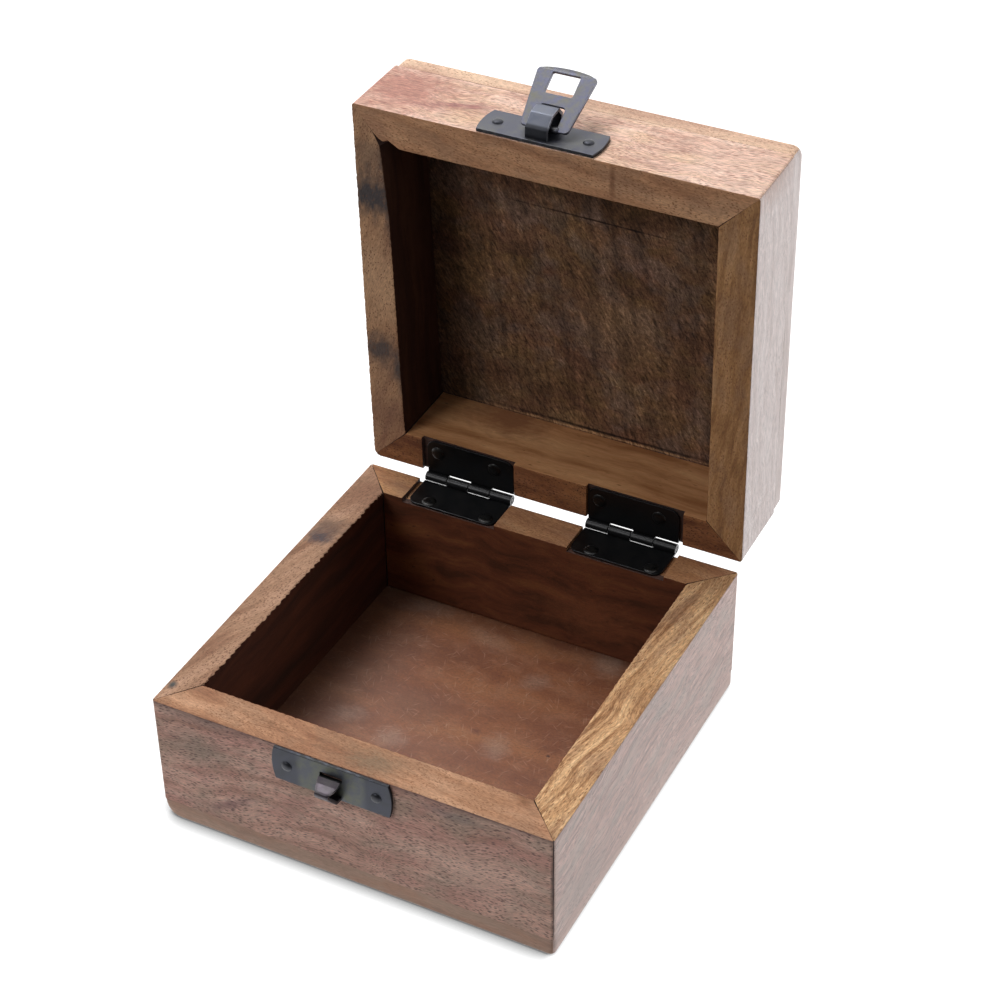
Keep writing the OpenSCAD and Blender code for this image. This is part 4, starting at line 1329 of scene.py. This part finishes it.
# %% [markdown]
# ## Dark steel
# The hinges are blackened sheet steel: dark, with a soft grey shine where the barrels turn up to
# the light. The clasp was zinc plated and has aged to a blue grey, with worn edges and dull
# greenish patches. Both are metals, so they keep the default IOR and take their colour from the
# reflection. The grain of rolled sheet is finer than it can show, so it is drawn 0.25 mm wide.

# %% Aged steel
SHEET_GRAIN_MM = 0.25
SHEET_RELIEF_MM = 0.012
RUBBED_MM = 1.5
RUBBED_RANGE = (0.25, 0.5)
PATCH_RANGE = (0.42, 0.68)
DULL_RANGE = (0.35, 0.7)
KEPT_FINISH, KEPT_SHARE, KEPT_FADE = "#23252f", 0.85, 1.5
FOOT_SHADE, FOOT_FADE = 0.3, 0.4


def aged_steel(name, seed, body, patch, worn, metallic, rough_low, rough_high, patch_mm=4, worn_share=0.6,
               painted_shade_below=None, dark_ends=None):
    """Sheet steel with patches where its finish is rubbed thin, worn edges and a fine rolled grain.

    With dark_ends, the finish further than that from the middle was never rubbed and stays darker.
    With painted_shade_below, shade is painted below that height in mm, where the sheet lies in shadow.
    """
    material, tree = new_material(name)
    place = add(tree, "ShaderNodeTexCoord").outputs["Object"]
    spot = add(tree, "ShaderNodeSeparateXYZ", {0: place})
    at = add(tree, "ShaderNodeMapping", {"Vector": place, "Location": (seed * 7.3, seed * 3.1, 0),
                                         "Scale": [1 / MM] * 3}).outputs[0]
    cloud = add(tree, "ShaderNodeTexNoise", {"Vector": at, "Scale": 1 / patch_mm, "Detail": 5.0,
                                             "Roughness": 0.65})
    colour = tinted(tree, linear(body), patch, cloud.outputs[0], *PATCH_RANGE)
    if dark_ends is not None:
        out = add(tree, "ShaderNodeMath", {0: spot.outputs["X"]}, operation="ABSOLUTE")
        ends = (dark_ends * MM, (dark_ends + KEPT_FADE) * MM)
        colour = tinted(tree, colour, KEPT_FINISH, out.outputs[0], *ends, KEPT_SHARE)
    rubbed = add(tree, "ShaderNodeTexNoise", {"Vector": at, "Scale": 1 / RUBBED_MM, "Detail": 3.0})
    reach = add(tree, "ShaderNodeMapRange", {"Value": rubbed.outputs[0], "From Min": RUBBED_RANGE[0],
                                             "From Max": RUBBED_RANGE[1], "To Max": worn_share})
    edge = add(tree, "ShaderNodeAttribute", attribute_name="arris")
    amount = add(tree, "ShaderNodeMath", {0: edge.outputs["Fac"], 1: reach.outputs[0]}, operation="MULTIPLY")
    colour = tinted(tree, colour, worn, amount.outputs[0])
    # Painted shade below a height, where the sheet lies in its own shadow.
    if painted_shade_below is not None:
        foot = (painted_shade_below * MM, (painted_shade_below + FOOT_FADE) * MM)
        colour = shaded(tree, colour, spot.outputs["Z"], *foot, FOOT_SHADE)
    rough = add(tree, "ShaderNodeMapRange", {"Value": cloud.outputs[0], "From Min": DULL_RANGE[0],
                                             "From Max": DULL_RANGE[1], "To Min": rough_low,
                                             "To Max": rough_high})
    grain = add(tree, "ShaderNodeTexNoise", {"Vector": at, "Scale": 1 / SHEET_GRAIN_MM, "Detail": 3.0})
    bump = add(tree, "ShaderNodeBump", {"Height": grain.outputs[0], "Distance": SHEET_RELIEF_MM * MM,
                                        "Strength": 1.0})
    surface = add(tree, "ShaderNodeBsdfPrincipled", {
        "Base Color": colour, "Roughness": rough.outputs[0], "Metallic": metallic, "Normal": bump.outputs[0],
    })
    add(tree, "ShaderNodeOutputMaterial", {"Surface": surface.outputs[0]})
    return material


print(f"steel grain {SHEET_GRAIN_MM} mm wide and {SHEET_RELIEF_MM} mm deep")

# %% [markdown]
# ## One steel for each piece
# Stove black lets only part of the metal through, so the hinges and their nails are about half
# metallic. The clasp's zinc is metallic, and its pieces differ in how they wore: the catch is dull
# and greenish in its middle, tongue and hasp are rubbed pale at their edges, and the nose is brown.

# %% Steels: body, patches, worn edges, metallic, roughness
BLACKED, ZINC = 0.55, 0.8

black_steel = aged_steel("blackened_sheet_steel", 1, "#0d0e11", "#131212", "#24242a", BLACKED, 0.28, 0.42,
                         worn_share=0.3)
black_nail = aged_steel("blackened_wire_nail", 2, "#101112", "#191614", "#2a2a2c", BLACKED, 0.26, 0.4,
                        patch_mm=1.2)
# The plates' edges get a near black tone, darker than their faces.
grey_steel = aged_steel("plated_sheet_steel", 3, "#33343e", "#474744", "#17171a", ZINC, 0.32, 0.55,
                        patch_mm=5, worn_share=0.9)
catch_steel = aged_steel("plated_sheet_steel_catch", 8, "#33353b", "#4b4d40", "#17171a", ZINC, 0.32, 0.55,
                         patch_mm=3, worn_share=0.9, dark_ends=7.5)
# The tongue's lowest fold, below 1.9 mm, is painted darker as shade.
tongue_steel = aged_steel("plated_sheet_steel_tongue", 6, "#444751", "#4d4f56", "#6c6d74", ZINC, 0.36, 0.55,
                          patch_mm=3, worn_share=0.8, painted_shade_below=1.9)
nose_steel = aged_steel("plated_sheet_steel_nose", 7, "#332e33", "#3c3a3a", "#5a575a", ZINC, 0.32, 0.5,
                        patch_mm=2)
hasp_steel = aged_steel("plated_sheet_steel_hasp", 5, "#383945", "#4b4a43", "#5c5c68", ZINC, 0.36, 0.55,
                        patch_mm=2, worn_share=0.7)
grey_nail = aged_steel("plated_wire_nail", 4, "#26272d", "#1c1d21", "#36373d", ZINC, 0.35, 0.5,
                       patch_mm=1.2)
print("steels:", len([m for m in bpy.data.materials if "steel" in m.name or "nail" in m.name]))

# %% [markdown]
# ## Nails
# A wire nail has a low domed head and a pointed shank. Each CAD node of nails holds a pair, so
# their places and sizes are read from its box. Each nail is turned a little, as a hammer leaves it.

# %% A nail and a pair of nails
NAIL_POINT = 1.5
NAIL_TURNS = (0.4, 2.6)


def nail(head_d, head_h, shank_d, length):
    """A nail with its head's underside at the origin and its shank along -Z."""
    r = head_d / 2
    return turned("nail", [
        (0, head_h), (0.3 * r, 0.98 * head_h), (0.55 * r, 0.9 * head_h), (0.75 * r, 0.74 * head_h),
        (0.9 * r, 0.48 * head_h), (r, 0.14 * head_h), (0.98 * r, 0),
        (shank_d / 2, 0), (shank_d / 2, NAIL_POINT - length), (0, -length),
    ])


def nail_pair(node, body, face, shank_d, length, material):
    """A pair of nails for a CAD node; face is the way their heads look, as drawn with the lid closed."""
    pose = LID_POSE if body == "lid" else Matrix.Identity(4)
    low, high = closed_corners(node) if body == "lid" else corners(node)
    axis = max(range(3), key=lambda i: abs(face[i]))
    head_d = (high - low)[2 if axis == 1 else 1]
    head_top = (high if face[axis] > 0 else low)[axis]
    head_h = (high - low)[axis] - length
    upright = Vector((0, 0, 1)).rotation_difference(Vector(face)).to_matrix().to_4x4()
    places = []
    for x, turn in zip((low.x + head_d / 2, high.x - head_d / 2), NAIL_TURNS):
        spot = (low + high) / 2
        spot.x = x
        spot[axis] = head_top - math.copysign(head_h, face[axis])
        places.append((nail(head_d, head_h, shank_d, length),
                       Matrix.Translation(spot) @ upright @ Matrix.Rotation(turn, 4, "Z")))
    dress(joined(node + "_domed", places), node + "_domed", body, node, [material], pose)


print("a nail has", len(nail(3, 0.8, 1.4, 9).vertices), "points")

# %% [markdown]
# ## The nails of each fitting
# Two nails hold each hinge leaf and each plate of the clasp. Those of the leaves are a little
# thicker and longer.

# %% Dress the nails
UP, DOWN, FRONT = (0, 0, 1), (0, 0, -1), (0, -1, 0)
HINGE_NAIL = (1.4, 9)
CLASP_NAIL = (1.2, 7)

for hinge in ("hinge_left", "hinge_right"):
    nail_pair(hinge + "_base_nails", "base", UP, *HINGE_NAIL, black_nail)
    nail_pair(hinge + "_lid_nails", "lid", DOWN, *HINGE_NAIL, black_nail)
nail_pair("catch_nails", "base", FRONT, *CLASP_NAIL, grey_nail)
nail_pair("clasp_lid_nails", "lid", FRONT, *CLASP_NAIL, grey_nail)

# %% [markdown]
# ## Butt hinges
# A leaf is stamped flat with a tab for each of its knuckles, and the tabs are then rolled round the
# wire pin. Rolling them here, as the maker did, gives the seam where each roll comes back to its
# leaf, and the splits between the knuckles.

# %% A hinge leaf
HINGE_R = 1.25
LEAF_T = 0.6
KNUCKLES = 4
KNUCKLE_SPLIT = 0.15
LEAF_CORNER_R = 2.5
LEAF_HOLE_R = 0.8
ROLLED = math.radians(318)
ROLL_R = HINGE_R - LEAF_T / 2
ROLL_CUTS = 21


def leaf(name, length, depth, nails, nail_y, cut_back):
    """Leaf from the middle of its pin: X along the pin, Y away from it, its plate below the pin."""
    step = length / KNUCKLES
    tab = ROLLED * ROLL_R
    half = length / 2
    points = [(half, depth, LEAF_CORNER_R), (-half, depth, LEAF_CORNER_R)]
    for i in range(0, KNUCKLES, 2):
        low = i * step - half + KNUCKLE_SPLIT / 2
        high = (i + 1) * step - half - KNUCKLE_SPLIT / 2
        points += [(low, -tab, 0.25), (high, -tab, 0.25), (high, cut_back, 0.2)]
        points.append((min(high + step + KNUCKLE_SPLIT, half), cut_back, 0.2))
    points[1] = (points[2][0], depth, LEAF_CORNER_R)
    holes = [circle(x, nail_y, LEAF_HOLE_R) for x in nails]
    cuts = -np.linspace(0, tab, ROLL_CUTS + 1)[:-1]
    mesh = cut_sheet(name, rounded_outline(points), holes, LEAF_T, cuts_y=cuts)

    def rolled(p):
        x, y, z = p.T
        turn = np.clip(-y, 0, None) / ROLL_R
        radius = ROLL_R - z
        around_y, around_z = -radius * np.sin(turn), -radius * np.cos(turn)
        flat = y >= 0
        return np.column_stack([x, np.where(flat, y, around_y), np.where(flat, z - ROLL_R, around_z)])

    return move_points(mesh, rolled)


print("knuckles rolled through", round(math.degrees(ROLLED)), "degrees")

# %% [markdown]
# ## Leaves on their pin
# Both leaves of a hinge are the same drawing. The base's leaf is turned about the upright, and the
# lid's is turned over, so the knuckles of one fill the gaps of the other.

# %% Dress the hinge leaves
LEAF_CUT_BACK = {"base": 1.14, "lid": 1.3}

for hinge in ("hinge_left", "hinge_right"):
    low, high = corners(hinge + "_base_leaf")
    pin_low, pin_high = corners(hinge + "_pin")
    pin = (pin_low + pin_high) / 2
    depth = pin.y - low.y
    for part, pose in (("base", Matrix.Identity(4)), ("lid", LID_POSE)):
        node = f"{hinge}_{part}_leaf"
        nails_low, nails_high = (corners if part == "base" else closed_corners)(f"{hinge}_{part}_nails")
        head_r = (nails_high.y - nails_low.y) / 2
        spots = [pin.x - nails_low.x - head_r, pin.x - nails_high.x + head_r]
        nail_y = pin.y - (nails_low.y + nails_high.y) / 2
        turn = Matrix.Rotation(math.pi, 4, "Z")
        if part == "lid":
            turn = Matrix.Rotation(math.pi, 4, "X")
            spots = [-s for s in spots]
        mesh = leaf(node + "_rolled", high.x - low.x, depth, spots, nail_y, LEAF_CUT_BACK[part])
        dress(mesh, node + "_rolled", part, node, [black_steel],
              pose @ Matrix.Translation(pin) @ turn, sharp=SHEET_SHARP)

# %% [markdown]
# ## The clasp
# Two plates with gently bulging ends are nailed to the front. The upper one holds a folded tongue
# that carries the hasp's bar, the lower one a folded nose that the hasp's window drops over.

# %% A clasp plate
CLASP_T = 0.8
PLATE_H = 9.2
END_BULGE = 0.7
PLATE_HOLE_R = 0.7


def plate(name, width, nail_pitch, slots=()):
    """Plate that stands on its lower edge at the origin, its back in the plane Y = 0, facing -Y."""
    reach, half_h = width / 2, PLATE_H / 2
    end_r = (half_h ** 2 + END_BULGE ** 2) / (2 * END_BULGE)
    lean = math.degrees(math.asin(half_h / end_r))
    outline = arc((reach - end_r, half_h), end_r, -lean, lean, 8) + arc(
        (end_r - reach, half_h), end_r, 180 - lean, 180 + lean, 8)
    holes = [circle(side * nail_pitch / 2, half_h, PLATE_HOLE_R) for side in (-1, 1)] + list(slots)
    mesh = cut_sheet(name, outline, holes, CLASP_T, edge=0.12, cuts_x=np.linspace(-reach, reach, 12)[1:-1])
    return move_points(mesh, lambda p: np.column_stack([p[:, 0], -CLASP_T / 2 - p[:, 2], p[:, 1]]))


print(f"clasp plates {PLATE_H} mm high, of {CLASP_T} mm sheet")

# %% [markdown]
# ## The lid's plate
# The tongue leaves the lower edge of the plate, swings out round the bar and comes back to the front.

# %% The lid's plate and its tongue
TONGUE_W = 5.4
TONGUE_BEND_R = 0.42
TONGUE_FOLDS = ((0.4, 1.6), (3.1, 1.8), (5.3, 4.6), (5.6, 7.6), (3.8, 9.2), (0.4, 8.9))

plate_low, plate_high = closed_corners("clasp_lid_plate")
nails_low, nails_high = closed_corners("clasp_lid_nails")
plate_x = (plate_low.x + plate_high.x) / 2
clasp_pitch = nails_high.x - nails_low.x - (nails_high.z - nails_low.z)
front_y = -BOX_D / 2
mesh = plate("clasp_lid_plate_flat", plate_high.x - plate_low.x, clasp_pitch)
dress(mesh, "clasp_lid_plate_flat", "lid", "clasp_lid_plate", [grey_steel],
      LID_POSE @ Matrix.Translation((plate_x, front_y, plate_low.z)), sharp=SHEET_SHARP)
mesh = folded("clasp_tongue", TONGUE_FOLDS, lambda share: TONGUE_W, CLASP_T, TONGUE_BEND_R)
dress(mesh, "clasp_tongue", "lid", "clasp_lid_plate", [tongue_steel] * 4,
      LID_POSE @ Matrix.Translation((plate_x, front_y, LID_RIM_Z)), sharp=SHEET_SHARP)
print(f"plate {plate_high.x - plate_low.x:.1f} mm long, nails {clasp_pitch:.1f} apart")

# %% [markdown]
# ## The catch
# The nose was cut free from the sheet of its plate, which leaves a slot above it, and folded to a
# beak: wide where it leaves the plate and where it comes back, and narrow at its tip.

# %% The base's plate and its nose
NOSE_FOLDS = ((0.4, 0.55), (2.4, 0.65), (4.4, 3.2), (4.4, 3.9), (2.3, 4.45), (0.9, 5.2))
NOSE_TIP_W = 3.4
NOSE_WIDTHS = ((0, 0.2, 0.4, 0.55, 0.64, 0.74, 0.88, 1),
               (TONGUE_W, 5.1, 4.3, NOSE_TIP_W, NOSE_TIP_W, 4.4, 5.2, TONGUE_W))
NOSE_BEND_R = 0.45
NOSE_OFF_CENTRE = 0.3
NOSE_SLOT_Z = 5.4
NOSE_SLOT_H = 1.2

catch_low, catch_high = corners("catch_plate")
catch_x = (catch_low.x + catch_high.x) / 2
catch_z = (corners("catch_nails")[0].z + corners("catch_nails")[1].z - PLATE_H) / 2
slot = rounded_outline([(side * TONGUE_W / 2, NOSE_SLOT_Z + rise, 0.3)
                        for side, rise in ((-1, 0), (1, 0), (1, NOSE_SLOT_H), (-1, NOSE_SLOT_H))])
mesh = plate("catch_plate_flat", catch_high.x - catch_low.x, clasp_pitch, [slot])
dress(mesh, "catch_plate_flat", "base", "catch_plate", [catch_steel],
      Matrix.Translation((catch_x, front_y, catch_z)), sharp=SHEET_SHARP)
mesh = folded("catch_nose", NOSE_FOLDS, lambda share: np.interp(share, *NOSE_WIDTHS), CLASP_T, NOSE_BEND_R)
dress(mesh, "catch_nose", "base", "catch_plate", [nose_steel] * 4,
      Matrix.Translation((catch_x - NOSE_OFF_CENTRE, front_y, catch_z)), sharp=SHEET_SHARP)
print(f"nose {NOSE_TIP_W} mm wide at its tip, plate at Z {catch_z:.1f}")

# %% [markdown]
# ## The hasp
# The hasp is a tapered sheet. Two limbs either side of a slot hold its bar, below them is the window
# for the nose, and the end is a lip that is bent outwards for a fingertip. It is drawn hanging from
# its bar and then swung with the lid and by its own angle.

# %% The hasp's sheet
LIMBS_W, LIMB_TOP = 11.6, 0.4
TIP_W = 14.8
SLOT_FOOT, SLOT_W = 5.7, 6.0
WINDOW_TOP, WINDOW_W = 8.5, 6.8
LIP_AT = 14.1
LIP_H = 1.5
LIP_FOLD = math.radians(30)
LIP_BEND = 0.7
BEND_START = LIP_AT + 0.05
LIP_ARC_SHARE = 0.86
LIP_CORNER_DROP = 0.3
LIP_CORNER_R = 0.9


def hasp_sheet(name):
    """The hasp, hanging from the origin: limbs either side of a slot, a window and a lip bent outwards."""
    half_tip, half_limbs, half_slot, half_window = TIP_W / 2, LIMBS_W / 2, SLOT_W / 2, WINDOW_W / 2
    lip_r = (half_tip ** 2 + LIP_H ** 2) / (2 * LIP_H)
    lean = math.degrees(math.asin(LIP_ARC_SHARE * half_tip / lip_r))
    lip = [(x, y, 0) for x, y in arc((0, lip_r - LIP_AT - LIP_H), lip_r, 270 - lean, 270 + lean, 14)]
    corner_y = -LIP_AT - LIP_CORNER_DROP
    outline = rounded_outline([
        (half_limbs, LIMB_TOP, 0.9), (half_slot, LIMB_TOP, 0.3), (half_slot, -SLOT_FOOT, 0.8),
        (-half_slot, -SLOT_FOOT, 0.8), (-half_slot, LIMB_TOP, 0.3), (-half_limbs, LIMB_TOP, 0.9),
        (-half_tip, corner_y, LIP_CORNER_R), *lip, (half_tip, corner_y, LIP_CORNER_R),
    ])
    window = rounded_outline([
        (-half_window, 0.2 - LIP_AT, 0.4), (half_window, 0.2 - LIP_AT, 0.4),
        (half_window, -WINDOW_TOP, 0.5), (-half_window, -WINDOW_TOP, 0.5),
    ])
    cuts = [-BEND_START - LIP_BEND * k / 5 for k in range(6)]
    mesh = cut_sheet(name, outline, [window], CLASP_T, edge=0.14, cuts_y=cuts)

    def hung(p):
        x, r, layer = p[:, 0], -p[:, 1], p[:, 2]
        turn = LIP_FOLD * np.clip((r - BEND_START) / LIP_BEND, 0, 1)
        past = np.clip(r - BEND_START - LIP_BEND, 0, None)
        bend_r = LIP_BEND / LIP_FOLD
        out = bend_r * (1 - np.cos(turn)) + past * math.sin(LIP_FOLD)
        down = np.minimum(r, BEND_START) + bend_r * np.sin(turn) + past * math.cos(LIP_FOLD)
        return np.column_stack([x, -out - layer * np.cos(turn), -down + layer * np.sin(turn)])

    return move_points(mesh, hung)


print("hasp", LIP_AT + LIP_H, "mm long to the crown of its lip")

# %% [markdown]
# ## The hasp on its bar
# A short round bar closes the slot between the limbs and turns in the tongue.

# %% Dress the hasp and its bar
BAR_D = 1.6
BAR_CHAMFER = 0.25
BAR_OVERLAP = 0.5

bar_closed = CLOSED @ (Vector(joints["hasp_hinge"]["pos_m"]) / MM)
HASP_POSE = swing(joints["hasp_hinge"], -joints["hasp_hinge"]["range_deg"][0]) @ LID_POSE
HASP_POSE = HASP_POSE @ Matrix.Translation(bar_closed)
dress(hasp_sheet("hasp_pressed"), "hasp_pressed", "hasp", "hasp", [hasp_steel], HASP_POSE,
      sharp=SHEET_SHARP)
bar = rod("hasp_bar", SLOT_W / 2 + BAR_OVERLAP, BAR_D / 2, 0.7, BAR_CHAMFER, 20)
bar.transform(Matrix.Scale(MM, 4) @ Matrix.Rotation(math.pi / 2, 4, "Y"))
dress(bar, "hasp_bar", "hasp", "hasp", [grey_steel], HASP_POSE)
print("hasp hangs from", [round(c, 1) for c in bar_closed])

# %% [markdown]
# ## Hinge pins
# The pins are pieces of wire, cut and a little chamfered. Only their ends show, deep in the
# knuckles, and a round rod is all that they are.

# %% Dress the hinge pins
PIN_CHAMFER = 0.15

for hinge in ("hinge_left", "hinge_right"):
    low, high = corners(hinge + "_pin")
    half, r = (high.x - low.x) / 2, (high.z - low.z) / 2
    wire = rod(hinge + "_pin_wire", half, r, 0.75, PIN_CHAMFER, 16)
    wire.transform(Matrix.Scale(MM, 4))
    dress(wire, hinge + "_pin_wire", "base", hinge + "_pin", [black_steel],
          Matrix.Translation((low + high) / 2) @ Matrix.Rotation(math.pi / 2, 4, "Y"))
print(f"pins {2 * half:.1f} mm long and {2 * r:.1f} mm thick")
